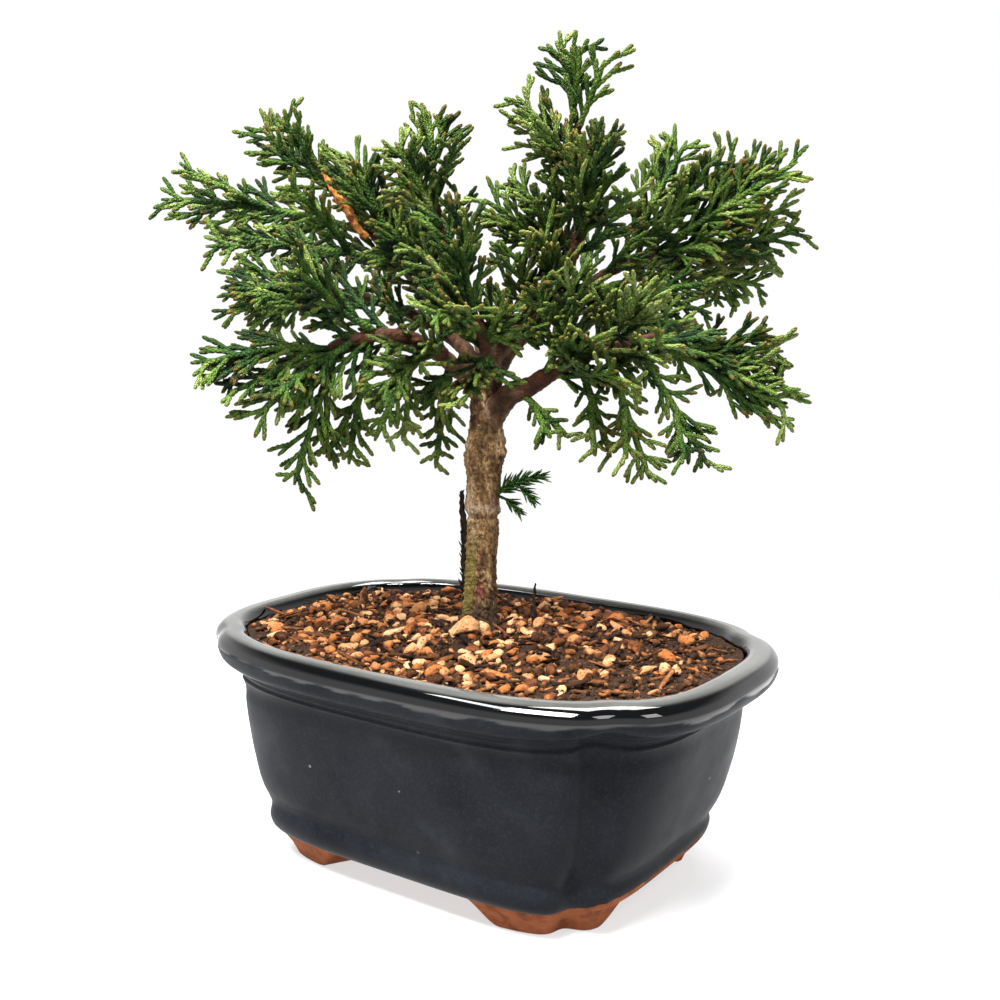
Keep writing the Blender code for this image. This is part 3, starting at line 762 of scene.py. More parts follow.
# %% Soil finish
earth = Recipe("soil_earth", 0.95)
earth_colour = earth.ramp(
    earth.noise(900.0, 6.0, 0.7),
    (0.30, (0.006, 0.0035, 0.002)),
    (0.50, (0.022, 0.011, 0.006)),
    (0.68, (0.060, 0.030, 0.016)),
    (0.82, (0.16, 0.075, 0.035)),
)
earth_grain = earth.bump(earth.cells(1300.0), 0.0006, 0.9)
earth_skin = earth.bump(earth.noise(3200.0, 3.0), 0.0003, 0.8, earth_grain)
finish_piece(soil, earth.finish(earth_colour, normal=earth_skin), "soil")

# %% [markdown]
# ### Loose pieces on the soil
#
# Three sorts lie about: crushed baked clay, bark splinters and crumbs. Each sort is
# one mesh made of many copies of a small solid. A copy is the solid's points pushed
# about by its own random numbers, stretched, turned and set down on the bed, all as
# whole arrays: (copies, points, 3).

# %% Scatter helpers


def ball_solid(splits):
    """Points and triangles of a ball: a 20-sided die whose faces are split in four."""
    gold = (1.0 + 5.0**0.5) / 2.0
    points = [(-1, gold, 0), (1, gold, 0), (-1, -gold, 0), (1, -gold, 0)]
    points += [(0, -1, gold), (0, 1, gold), (0, -1, -gold), (0, 1, -gold)]
    points += [(gold, 0, -1), (gold, 0, 1), (-gold, 0, -1), (-gold, 0, 1)]
    points = np.array(points, float)
    faces = "0 11 5 0 5 1 0 1 7 0 7 10 0 10 11 1 5 9 5 11 4 11 10 2 10 7 6 7 1 8"
    faces += " 3 9 4 3 4 2 3 2 6 3 6 8 3 8 9 4 9 5 2 4 11 6 2 10 8 6 7 9 8 1"
    faces = np.array(faces.split(), int).reshape(-1, 3)
    for _ in range(splits):
        sides = np.sort(faces[:, [0, 1, 1, 2, 2, 0]].reshape(-1, 2), axis=1)
        unique, where = np.unique(sides, axis=0, return_inverse=True)
        middle = where.reshape(-1, 3) + len(points)
        points = np.vstack((points, points[unique].mean(axis=1)))
        a, b, c = faces.T
        ab, bc, ca = middle.T
        faces = np.vstack((np.c_[a, ab, ca], np.c_[b, bc, ab], np.c_[c, ca, bc], np.c_[ab, bc, ca]))
    return points / np.linalg.norm(points, axis=1)[:, None], faces


def splinter_solid():
    """Points and triangles of a flat six-sided splinter with blunt, slanting ends."""
    turn = np.linspace(0.0, 2.0 * np.pi, 6, endpoint=False)
    along = np.array((-1.0, -0.75, 0.1, 0.8, 1.0))[:, None]
    girth = np.array((0.55, 0.95, 1.0, 0.8, 0.4))[:, None]
    rings = np.stack(
        (along + 0.08 * np.cos(turn), girth * np.cos(turn), girth * np.sin(turn)), axis=-1
    )
    points = np.vstack((rings.reshape(-1, 3), ((-1.0, 0, 0), (1.0, 0, 0))))
    quads = grid_faces(5, 6, True)
    halves = np.vstack((quads[:, [0, 1, 2]], quads[:, [0, 2, 3]]))
    return points, np.vstack((halves, end_fans(5, 6)))


def turns(yaw, pitch, roll):
    """One 3 x 3 turn for each copy: roll about X, then pitch about Y, then yaw about Z."""
    cy, sy, cp, sp = np.cos(yaw), np.sin(yaw), np.cos(pitch), np.sin(pitch)
    cr, sr, nil, one = np.cos(roll), np.sin(roll), 0 * yaw, 1 + 0 * yaw
    about_z = np.array(((cy, -sy, nil), (sy, cy, nil), (nil, nil, one)))
    about_y = np.array(((cp, nil, sp), (nil, one, nil), (-sp, nil, cp)))
    about_x = np.array(((one, nil, nil), (nil, cr, -sr), (nil, sr, cr)))
    return np.einsum("ijn,jkn,kln->nil", about_z, about_y, about_x)


def scatter(name, solid, places, sizes, turn_angles, roughness, sink, tones, seed, cuts=0):
    """Many copies of one solid on the bed, each misshapen, stretched, turned and set down.

    cuts planes slice rounded faces off every copy, which gives the look of broken clay.
    """
    chance = np.random.default_rng(seed)
    shape, faces = solid
    count = len(places)
    copies = np.broadcast_to(shape, (count, *shape.shape)).copy()
    lumps = chance.normal(0.0, 1.0, (count, 4, 3))
    phases = chance.uniform(0, 6, (count, 1, 4))
    waves = np.sin(np.einsum("npk,nwk->npw", copies, lumps * 1.6) + phases)
    copies *= 1.0 + roughness * waves.mean(axis=2)[..., None]
    copies *= 1.0 + 0.35 * roughness * chance.uniform(-1, 1, (count, len(shape), 1))
    for _ in range(cuts):
        facing = chance.normal(0.0, 1.0, (count, 1, 3))
        facing /= np.linalg.norm(facing, axis=2, keepdims=True)
        depth = chance.uniform(0.42, 0.8)
        beyond = np.clip((copies * facing).sum(axis=2, keepdims=True) - depth, 0, None)
        copies -= beyond * facing * 0.95
    copies *= sizes[:, None, :] / 2.0
    copies = np.einsum("npk,njk->npj", copies, turns(*turn_angles))
    lowest = copies[..., 2].min(axis=1)
    ground = soil_level(places[:, 0], places[:, 1])
    rest = ground - lowest - sink * sizes[:, 2]
    copies += np.column_stack((places, rest))[:, None, :]
    triangles = (faces[None] + (np.arange(count) * len(shape))[:, None, None]).reshape(-1, 3)
    tone = np.repeat(tones, len(shape))
    return add_mesh(name, copies.reshape(-1, 3), None, triangles, {"tone": tone})


def places_on_soil(count, chance, reach, lean=0.0):
    """Random places inside the lip; lean above 0 crowds them towards the front left."""
    turn = chance.uniform(0.0, 2.0 * np.pi, count * 4)
    share = np.sqrt(chance.random(count * 4)) * reach
    x, y = outline(*SCATTER_RIM, turn)
    x, y = x * share, y * share
    wanted = 1.0 - lean * smooth_step(x + 0.25 * y, 12.0, 55.0)
    kept = chance.random(count * 4) < wanted
    kept &= np.hypot(x - TRUNK_FOOT[0], y - TRUNK_FOOT[1]) > 6.5
    return np.column_stack((x, y))[kept][:count]


# %% Clay granules, bark and crumbs
chance = np.random.default_rng(41)

STONES = 860
stone_places = places_on_soil(STONES, chance, 0.955, 0.6)
stone_size = 1.9 + 3.5 * chance.random(len(stone_places)) ** 2.0
stone_stretch = chance.uniform((0.9, 0.6, 0.42), (1.3, 0.9, 0.72), (len(stone_places), 3))
stone_sizes = stone_size[:, None] * stone_stretch
stone_angles = chance.uniform((0, -0.4, -0.4), (6.28, 0.4, 0.4), (len(stone_places), 3)).T
stone_tones = chance.random(len(stone_places))
stones = scatter(
    "clay_granules", ball_solid(1), stone_places, stone_sizes, stone_angles,
    roughness=0.26, sink=0.16, tones=stone_tones, seed=42, cuts=8,
)

# Place, length, width, height, bearing in degrees and tone of the six largest.
NAMED_GRANULES = {
    "granule_large": (-2.6, -6.2, 9.0, 7.0, 6.0, 20, 0.80),
    "granule_front_left": (14.0, -26.0, 7.0, 5.0, 3.6, 70, 0.86),
    "granule_front_right": (45.0, -22.0, 6.4, 4.2, 3.4, 110, 0.70),
    "granule_left": (-43.0, -19.0, 5.6, 4.4, 3.4, 10, 0.30),
    "granule_right": (52.0, 6.0, 6.6, 4.2, 3.4, 150, 0.45),
    "granule_back": (24.0, 30.0, 6.0, 4.6, 3.6, 40, 0.55),
}
large_stones = [
    scatter(
        name.replace("granule", "stone"),
        ball_solid(3),
        np.array(((x, y),)),
        np.array(((long, wide, high),)),
        (np.radians((float(angle),)), np.zeros(1), np.zeros(1)),
        roughness=0.20,
        sink=0.08,
        tones=np.array((tone,)),
        seed=50 + number,
        cuts=6,
    )
    for number, (name, (x, y, long, wide, high, angle, tone)) in enumerate(NAMED_GRANULES.items())
]

CHIPS = 560
chip_places = places_on_soil(CHIPS, chance, 0.97)
chip_length = 2.5 + 7.5 * chance.random(len(chip_places)) ** 2.4
chip_width = chance.uniform(0.8, 2.0, len(chip_places))
chip_height = chance.uniform(0.35, 0.9, len(chip_places))
chip_sizes = np.column_stack((chip_length, chip_width, chip_height))
chip_angles = chance.uniform((0, -0.35, -0.5), (6.28, 0.35, 0.5), (len(chip_places), 3)).T
chips = scatter(
    "bark_chips", splinter_solid(), chip_places, chip_sizes, chip_angles,
    roughness=0.25, sink=0.35, tones=chance.random(len(chip_places)), seed=43,
)

CRUMBS = 3600
crumb_places = places_on_soil(CRUMBS, chance, 0.985)
crumb_size = 0.6 + 1.5 * chance.random(len(crumb_places)) ** 1.8
crumb_sizes = crumb_size[:, None] * chance.uniform(0.6, 1.2, (len(crumb_places), 3))
crumb_angles = chance.uniform(-3.0, 3.0, (len(crumb_places), 3)).T
crumbs = scatter(
    "soil_crumbs", ball_solid(0), crumb_places, crumb_sizes, crumb_angles,
    roughness=0.3, sink=0.25, tones=chance.random(len(crumb_places)), seed=44, cuts=1,
)

# %% Finishes of the loose pieces
clay = Recipe("baked_clay", 0.9)
clay_cloud = clay.spread(clay.noise(420.0, 4.0, 0.6), 0.3, 0.7, -0.14, 0.14)
clay_colour = clay.ramp(
    clay.sums("ADD", clay.attribute("tone"), clay_cloud),
    (0.02, (0.026, 0.009, 0.004)),
    (0.22, (0.085, 0.028, 0.010)),
    (0.45, (0.230, 0.076, 0.020)),
    (0.68, (0.300, 0.128, 0.048)),
    (0.95, (0.420, 0.240, 0.118)),
)
clay_holes = clay.cells(1100.0)
clay_pits = clay.spread(clay_holes, 0.10, 0.34, 0.75, 0.0)
clay_colour = clay.blend(clay_pits, clay_colour, (0.08, 0.026, 0.011))
pitted = clay.bump(clay.spread(clay_holes, 0.0, 0.35), 0.0004, 0.8)
clay_finish = clay.finish(clay_colour, 0.92, clay.bump(clay.noise(2200.0, 4.0), 0.0003, 0.8, pitted))
finish_piece(stones, clay_finish, "soil")
for piece, node in zip(large_stones, NAMED_GRANULES):
    finish_piece(piece, clay_finish, node)

mulch = Recipe("bark_mulch", 0.9)
mulch_cloud = mulch.spread(mulch.noise(500.0, 4.0, 0.65), 0.3, 0.7, -0.2, 0.2)
mulch_colour = mulch.ramp(
    mulch.sums("ADD", mulch.attribute("tone"), mulch_cloud),
    (0.10, (0.006, 0.003, 0.0015)),
    (0.35, (0.024, 0.010, 0.004)),
    (0.60, (0.056, 0.022, 0.008)),
    (0.82, (0.120, 0.042, 0.013)),
    (1.00, (0.200, 0.088, 0.032)),
)
mulch_grain = mulch.noise(1700.0, 4.0, 0.7, stretch=(1.0, 1.0, 2.5))
mulch_finish = mulch.finish(mulch_colour, 0.88, mulch.bump(mulch_grain, 0.0004, 0.9))
finish_piece(chips, mulch_finish, "soil")
finish_piece(crumbs, mulch_finish, "soil")

# %% [markdown]
# ## Trunk and branches
#
# Every limb is a tube: a smooth curve through a short table of places and radii,
# with rings square to it. The bark's plates, knots and scars push the surface in
# and out along each ring's own spokes, so they catch light like carved wood.
# Branches start well inside the trunk, and their bark flows out of it.

# %% Limb helpers


def unit(ways):
    """Ways of length 1."""
    return ways / np.linalg.norm(ways, axis=-1, keepdims=True)


def carried_frames(centres):
    """Way along, side and other side at each centre, carried along with no twist."""
    ways = unit(np.gradient(centres, axis=0))
    side = np.cross((0.0, 1.0, 0.0), ways[0])
    sides = []
    for way in ways:
        side = side - way * side.dot(way)
        side = side / np.linalg.norm(side)
        sides.append(side)
    sides = np.array(sides)
    return ways, sides, np.cross(ways, sides)


def add_limb(name, path, rings, columns, relief, marks=None):
    """A round limb along a path of (x, y, z, radius), closed by rounded ends.

    Point = centre + (radius + relief(angle, run, z)) * spoke(angle), run in mm.
    marks(angle, run, z) gives the shares that the finish asks for, by name.
    """
    rows = smooth_rows(path, rings)
    centres, radius = rows[:, :3], rows[:, 3:4]
    _, side, other = carried_frames(centres)
    angle = np.linspace(0.0, 2.0 * np.pi, columns, endpoint=False)[None, :]
    run = run_along(centres)[:, None]
    left = np.minimum(run, run[-1] - run)
    round_off = np.sqrt(np.clip(1.0 - (1.0 - np.clip(left / radius, 0.0, 1.0)) ** 2, 0.0, 1.0))
    spoke = np.cos(angle)[..., None] * side[:, None] + np.sin(angle)[..., None] * other[:, None]
    height = centres[:, 2:3]
    reach = (radius + relief(angle, run, height)) * np.clip(round_off, 0.05, 1.0)
    points = centres[:, None] + reach[..., None] * spoke
    ends = np.vstack((centres[0], centres[-1]))
    numbers = {}
    for key, grid in (marks(angle, run, height) if marks else {}).items():
        grid = np.broadcast_to(grid, (rings, columns)).ravel()
        numbers[key] = np.append(grid, (grid[0], grid[-1]))
    all_points = np.vstack((points.reshape(-1, 3), ends))
    return add_mesh(name, all_points, grid_faces(rings, columns, True), end_fans(rings, columns), numbers)


def around(angle, bearing):
    """The angle from a bearing in degrees, wrapped to half a turn either way, in radians."""
    return (angle - math.radians(bearing) + np.pi) % (2.0 * np.pi) - np.pi


# %% Trunk
TRUNK_RADIUS = 4.4  # mean, for turning an angle into a length round the bark
TRUNK = (
    (-5.7, 5.3, 56.8, 5.5),
    (-5.7, 5.3, 61.0, 5.0),
    (-5.6, 5.4, 66.0, 4.6),
    (-5.3, 5.5, 75.0, 4.3),
    (-5.0, 5.7, 86.0, 4.2),
    (-4.7, 5.9, 96.0, 4.4),
    (-4.5, 6.0, 104.0, 4.5),
    (-4.2, 6.2, 112.0, 4.9),
    (-4.0, 6.3, 120.0, 4.3),
    (-3.9, 6.4, 128.0, 3.9),
    (-3.8, 6.5, 135.0, 3.3),
)
# Knots: height, bearing, swelling, spread, depth of the eye in the middle.
KNOTS = (
    (112.5, 15.0, 1.3, 3.4, 0.9),
    (108.0, 205.0, 1.1, 3.0, 0.8),
    (97.0, 262.0, 0.5, 2.4, 0.5),
    (117.0, 285.0, 0.5, 2.0, 0.5),
    (104.0, 318.0, 0.35, 1.5, 0.5),
    (88.0, 300.0, 0.3, 1.4, 0.4),
    (82.0, 235.0, 0.35, 1.6, 0.4),
    (76.5, 305.0, 0.45, 1.9, 0.6),
    (69.0, 330.0, 0.3, 1.6, 0.4),
    (122.0, 250.0, 0.5, 1.9, 0.5),
    (92.0, 120.0, 0.4, 1.8, 0.4),
    (101.0, 60.0, 0.4, 1.8, 0.4),
    (111.0, 288.0, 0.55, 1.5, 0.55),
    (109.5, 345.0, 0.9, 2.6, 0.7),
    (114.5, 325.0, 0.6, 2.0, 0.5),
    (106.0, 268.0, 0.45, 1.4, 0.45),
    (104.0, 338.0, 0.5, 1.7, 0.5),
)


def from_spot(angle, z, bearing, height, tall=1.0):
    """Millimetres over the bark from a spot; tall below 1 stretches the spot upward."""
    return np.hypot(tall * (z - height), around(angle, bearing) * TRUNK_RADIUS)


def trunk_relief(angle, run, z):
    """Flutes, a root flare, long bark plates, cross creases, and eyed knots, in mm."""
    wrapped = np.cos(angle), np.sin(angle)
    shape = 0.22 * np.sin(3.0 * angle + 0.035 * z) + 0.12 * np.sin(5.0 * angle - 0.05 * z + 1.0)
    shape = shape + np.exp(-(z - 58.0) / 4.0) * (0.9 + 0.8 * np.sin(4.0 * angle + 0.6))
    plates = value_noise(wrapped[0] * 5.0 + 40.0, wrapped[1] * 5.0 + z * 0.22, 0.9, 61)
    flakes = value_noise(wrapped[0] * 5.0 + 80.0 + 0.2 * z, wrapped[1] * 5.0 + z * 0.55, 0.55, 62)
    crease = bell(value_noise(wrapped[0] * 3 + 9.0, wrapped[1] * 3 + z * 0.9, 1.3, 63) - 0.5, 0.05)
    wrinkles = value_noise(wrapped[0] * 7.0 + 120.0, wrapped[1] * 7.0 + z * 1.7, 0.6, 64)
    shape = shape + 0.85 * (plates - 0.5) + 0.55 * (flakes - 0.5)
    shape = shape + 0.34 * (wrinkles - 0.5) - 0.34 * crease
    shape = shape + 0.40 * bell(z - 94.8, 1.2) - 0.40 * bell(z - 92.6, 0.7)
    strip_end = 1.0 - smooth_step(z, 86.0, 94.0)
    shape = shape - 0.45 * bell(around(angle, 279.0) * TRUNK_RADIUS, 0.40) * strip_end
    for height, bearing, swelling, spread, eye in KNOTS:
        away = from_spot(angle, z, bearing, height)
        shape = shape + swelling * bell(away, spread) - eye * bell(away, spread * 0.28)
        shape = shape - 0.25 * bell(away - spread * 0.95, 0.45)
    return shape


def trunk_marks(angle, run, z):
    """Shares from 0 to 1 of the green strip, pale ring, painted shade at the crotch, darker foot, scars
    and knots.
    """
    knots = [(from_spot(angle, z, bearing, height), spread) for height, bearing, _, spread, _ in KNOTS]
    strip = 1.0 - smooth_step(np.abs(around(angle, 238.0)), 0.62, 0.78)
    return {
        "moss": strip * (1.0 - smooth_step(z, 80.0, 95.0)),
        "ring": bell(z - 95.2 + 0.4 * np.sin(2 * angle), 1.3),
        # Painted shade where the trunk splits into branches under the crown.
        "crotch_shade": smooth_step(z, 116.0, 125.0),
        # Darker towards the foot of the trunk, most on its front right.
        "dark_foot": 1.0 - smooth_step(z + 8 * np.cos(around(angle, 150.0)), 58.0, 74.0),
        "scar": bell(from_spot(angle, z, 303.0, 72.5, 0.8), 1.35)
        + 0.6 * bell(from_spot(angle, z, 330.0, 98.0), 1.6),
        "cut": sum(bell(away, spread * 0.36) for away, spread in knots),
        "rim": sum(bell(away - spread * 0.62, 0.32) for away, spread in knots),
    }


trunk = add_limb("trunk_bark", TRUNK, 420, 160, trunk_relief, trunk_marks)
# %% Trunk finish
bark = Recipe("trunk_skin", 0.8)
bark_cloud = bark.noise(230.0, 6.0, 0.62, stretch=(1.0, 1.0, 0.45))
bark_fine = bark.noise(1300.0, 5.0, 0.7, stretch=(1.0, 1.0, 0.6))
bark_colour = bark.ramp(
    bark_cloud,
    (0.34, (0.026, 0.013, 0.006)),
    (0.42, (0.135, 0.074, 0.030)),
    (0.52, (0.320, 0.190, 0.080)),
    (0.65, (0.560, 0.410, 0.240)),
)
lichen = bark.sums("MULTIPLY", bark.spread(bark.cells(420.0), 0.10, 0.03), 0.5)
BARK_LAYERS = (
    (bark.spread(bark_fine, 0.43, 0.54, 0.72, 0.0), (0.040, 0.022, 0.013)),
    (bark.share("moss", bark_cloud, 0.35, 0.6, 0.60, 0.90), (0.130, 0.105, 0.022)),
    (bark.share("ring", bark_fine, 0.4, 0.6, 0.10, 0.60), (0.48, 0.39, 0.29)),
    # Painted shade at the crotch, under the crown.
    (bark.share("crotch_shade", bark_cloud, 0.40, 0.62, 0.85, 0.15), (0.055, 0.024, 0.013)),
    # Darker towards the foot of the trunk.
    (bark.share("dark_foot", 0.82), (0.022, 0.014, 0.010)),
    (bark.share("scar", 0.90), (0.130, 0.022, 0.024)),
    (bark.share("rim", bark_fine, 0.46, 0.60, 0.0, 0.30), (0.420, 0.300, 0.160)),
    (bark.share("cut", 0.55), (0.060, 0.032, 0.016)),
    (lichen, (0.45, 0.42, 0.34)),
)
for share, colour in BARK_LAYERS:
    bark_colour = bark.blend(share, bark_colour, colour)
bark_skin = bark.bump(bark_fine, 0.0005, 1.0, bark.bump(bark_cloud, 0.0008, 0.8))
bark_finish = bark.finish(bark_colour, bark.spread(bark_cloud, 0.3, 0.7, 0.62, 0.9), bark_skin)
finish_piece(trunk, bark_finish, "trunk")

# %% Branches
YOUNG_FROM = (8.0, 22.0)  # mm along a limb where its bark turns from old to young
BRANCHES = {
    "branch_leader": (
        (-3.9, 6.4, 127, 3.3), (-3.6, 6.6, 133, 3.1), (-1.5, 10, 140.5, 2.7), (3, 16, 147, 2.5),
        (8, 21, 154, 2.2), (13, 24, 166, 1.7), (16, 27, 180, 1.3), (15, 25, 191, 1.0),
        (14, 22, 198, 0.7),
    ),
    "branch_right_low": (
        (-4.0, 6.5, 114.5, 2.6), (1.1, 5.2, 123.6, 3.4), (5.0, 5.3, 126.8, 2.9), (10, 7, 129, 2.5),
        (16, 9, 133, 2.1), (23, 13, 137, 1.8), (31, 20, 140, 1.4), (37, 27, 142, 1.0),
    ),
    "branch_left_low": (
        (-4.2, 5.0, 125, 2.4), (-7.5, 0, 132, 2.2), (-10, -6, 137, 2.0), (-14, -16, 142, 1.7),
        (-21, -24, 142, 1.4), (-27, -31, 139, 1.0),
    ),
    "branch_left_high": (
        (-4.2, 6.2, 129, 2.4), (-10, 6, 137, 2.1), (-20, 5, 150, 1.8), (-32, 2, 164, 1.5),
        (-41, -2, 174, 1.2), (-46, -4, 181, 0.9),
    ),
    "branch_left_back": (
        (-4.4, 7.2, 127, 2.0), (-13, 13, 135, 1.8), (-28, 13, 145, 1.5), (-45, 9, 152, 1.2),
        (-58, 4, 155, 0.9),
    ),
    "branch_centre": (
        (-4.0, 7.0, 131, 2.0), (-9, 10, 141, 1.8), (-14, 9, 154, 1.6), (-19, 7, 168, 1.3),
        (-20, 5, 178, 0.9),
    ),
    "branch_right_back": (
        (-3.8, 8.0, 128, 2.0), (-4, 17, 137, 1.8), (3, 32, 150, 1.6), (16, 46, 162, 1.3),
        (24, 52, 166, 0.9),
    ),
    "branch_front": ((-3.0, 4.8, 128, 1.9), (1, -1, 134, 1.7), (4, -6, 141, 1.4), (4, -10, 147, 1.0)),
}


def branch_relief(seed):
    """Old scale rings, flaking plates and slow swellings on one branch, in mm."""

    def relief(angle, run, z):
        rings = 0.10 * np.abs(np.sin(run * 2.1 + 0.6 * np.sin(angle * 2.0))) ** 0.5
        lumps = value_noise(np.cos(angle) * 2.0 + 20.0, np.sin(angle) * 2.0 + run * 0.5, 0.9, seed)
        flakes = value_noise(np.cos(angle) * 4.0 + 60.0, np.sin(angle) * 4.0 + run * 1.3, 0.8, seed + 1)
        stubs = bell(value_noise(run * 0.2 + 30, np.cos(angle) + 30, 0.7, seed + 2) - 0.95, 0.10)
        return rings + 0.42 * (lumps - 0.5) + 0.34 * (flakes - 0.5) + 0.5 * stubs

    return relief


def branch_marks(angle, run, z):
    """Near the trunk a branch wears the trunk's old bark."""
    return {"old": 1.0 - smooth_step(run, *YOUNG_FROM)}


# %% Branch finish, and the branches
young = Recipe("branch_skin", 0.75)
young_cloud = young.noise(420.0, 5.0, 0.65)
young_colour = young.ramp(
    young_cloud,
    (0.32, (0.009, 0.004, 0.002)),
    (0.46, (0.036, 0.013, 0.006)),
    (0.60, (0.085, 0.030, 0.013)),
    (0.76, (0.170, 0.078, 0.036)),
)
old_colour = young.ramp(
    young.noise(230.0, 6.0, 0.62, stretch=(1.0, 1.0, 0.45)),
    (0.36, (0.026, 0.014, 0.008)),
    (0.50, (0.105, 0.056, 0.028)),
    (0.66, (0.270, 0.180, 0.100)),
)
young_colour = young.blend(young.attribute("old"), young_colour, old_colour)
young_rings = young.noise(1400.0, 3.0, 0.6, stretch=(0.6, 0.6, 1.8))
ring_share = young.spread(young_rings, 0.40, 0.56, 0.6, 0.0)
young_finish = young.finish(
    young.blend(ring_share, young_colour, (0.025, 0.012, 0.008)),
    young.spread(young_cloud, 0.3, 0.7, 0.6, 0.85),
    young.bump(young_rings, 0.0004, 0.8),
)
for number, (name, path) in enumerate(BRANCHES.items()):
    relief = branch_relief(70 + 3 * number)
    limb = add_limb(name.replace("branch", "limb"), path, 200, 40, relief, branch_marks)
    finish_piece(limb, young_finish, name)

# %% [markdown]
# ## Foliage
#
# Scale leaves hug each twig like shingles, so a twig is a knobbly little rod with a
# blunt tip. Twigs fork again and again in nearly one plane, which makes a flat,
# fern-like spray, and many sprays face the light. A shoot here is one bowed line:
#
#     place(t) = base + length * (way * t + bend * t^2 / 2)
#
# New shoots start along old ones, alternately left and right, and each level is
# grown for all its parents at once.

# %% Shoots that grow from shoots
FORKS_ABOVE = 6.2  # mm, the length above which a twig forks once more


def shoot_set(base, way, bend, face, length, low, high, tone):
    """A table of shoots: where each starts and heads, how it bows and faces, and its size."""
    numbers = {"length": length, "low": low, "high": high, "tone": tone}
    filled = {key: np.zeros(len(base)) + value for key, value in numbers.items()}
    return {"base": base, "way": way, "bend": bend, "face": face, **filled}


def join_sets(*sets):
    """Several tables of shoots as one."""
    return {key: np.concatenate([part[key] for part in sets]) for key in sets[0]}


def point_on(shoots, index, share):
    """The place and way at a share of some shoots' length."""
    share = share[:, None]
    way, bend, length = shoots["way"][index], shoots["bend"][index], shoots["length"][index, None]
    place = shoots["base"][index] + length * (way * share + 0.5 * bend * share**2)
    return place, unit(way + bend * share)


def square_to(face, way):
    """The part of face that is square to way, as a unit way."""
    return unit(face - way * (face * way).sum(axis=-1, keepdims=True))


def grow(parents, chance, reach, pitch, first, last, angle, lift, girth):
    """Side shoots every pitch mm of their parents, alternately left and right.

    They stand between the first and last share of a parent, at an angle in degrees.
    reach(share, parent length) gives their lengths; lift is how far, in radians, they
    stray out of the parent's plane; girth is their radius at the start and at the tip.
    """
    leafy = parents["length"] * (last - first)
    count = np.maximum(1, np.round(leafy / pitch)).astype(int)
    index = np.repeat(np.arange(len(count)), count)
    order = np.arange(len(index)) - np.repeat(np.cumsum(count) - count, count)
    number = len(index)
    share = first + (order + chance.uniform(0.15, 0.85, number)) / count[index] * (last - first)
    place, along = point_on(parents, index, share)
    face = square_to(parents["face"][index], along)
    side = np.where((order + index) % 2, 1.0, -1.0)[:, None]
    stray = chance.normal(0.0, lift, number)[:, None]
    out = np.cos(stray) * np.cross(face, along) * side + np.sin(stray) * face
    turn = np.radians(chance.normal(angle, 6.0, number))[:, None]
    way = np.cos(turn) * along + np.sin(turn) * out
    forward = along - way * (along * way).sum(axis=1, keepdims=True)
    bend = 0.34 * forward + chance.normal(0.0, 0.07, (number, 3))
    length = reach(share, parents["length"][index]) * chance.uniform(0.72, 1.2, number)
    # Shoots further out along a parent get a lighter tone: partly younger growth, partly painted shade
    # inside the spray.
    tone = parents["tone"][index] + chance.normal(0.0, 0.10, number) + 0.16 * (share - 0.35)
    return shoot_set(place, way, bend, square_to(face, way), length, *girth, tone)


def leafy_envelope(share):
    """How long side shoots are along a stem: short low down, longest in the middle."""
    return 0.34 + 0.66 * np.sin(np.pi * (share * 0.84 + 0.13)) ** 0.8


def twig_reach(shortest, gain):
    """A rule for a twig's length: shortest + gain * (1 - share) * the parent's length."""

    def reach(share, length):
        return shortest + gain * (1.0 - share) * length

    return reach


def frond(stems, half_width, chance, bare):
    """A whole flat spray on each stem: side shoots, twigs on them and their last forks."""

    def side_reach(share, length):
        return half_width / 0.64 * leafy_envelope(share)

    side_shoots = grow(
        stems, chance, side_reach,
        pitch=2.5, first=bare, last=0.96, angle=34.0, lift=0.18, girth=(0.66, 0.67),
    )
    twigs = grow(
        side_shoots, chance, twig_reach(4.3, 0.38),
        pitch=3.9, first=0.16, last=0.72, angle=29.0, lift=0.30, girth=(0.62, 0.62),
    )
    long_enough = twigs["length"] > FORKS_ABOVE
    forks = grow(
        {key: value[long_enough] for key, value in twigs.items()}, chance, twig_reach(3.4, 0.26),
        pitch=5.0, first=0.26, last=0.64, angle=30.0, lift=0.34, girth=(0.60, 0.60),
    )
    return join_sets(stems, side_shoots, twigs, forks)


# %% Shoots as solids
SCALE_LENGTH = 1.25  # mm of twig covered by one leaf
LONG_SHOOT = 5.5  # mm, the length above which a shoot gets more rings
LONG_RINGS = 11
SHORT_RINGS = 7
TWIG_SIDES = 5


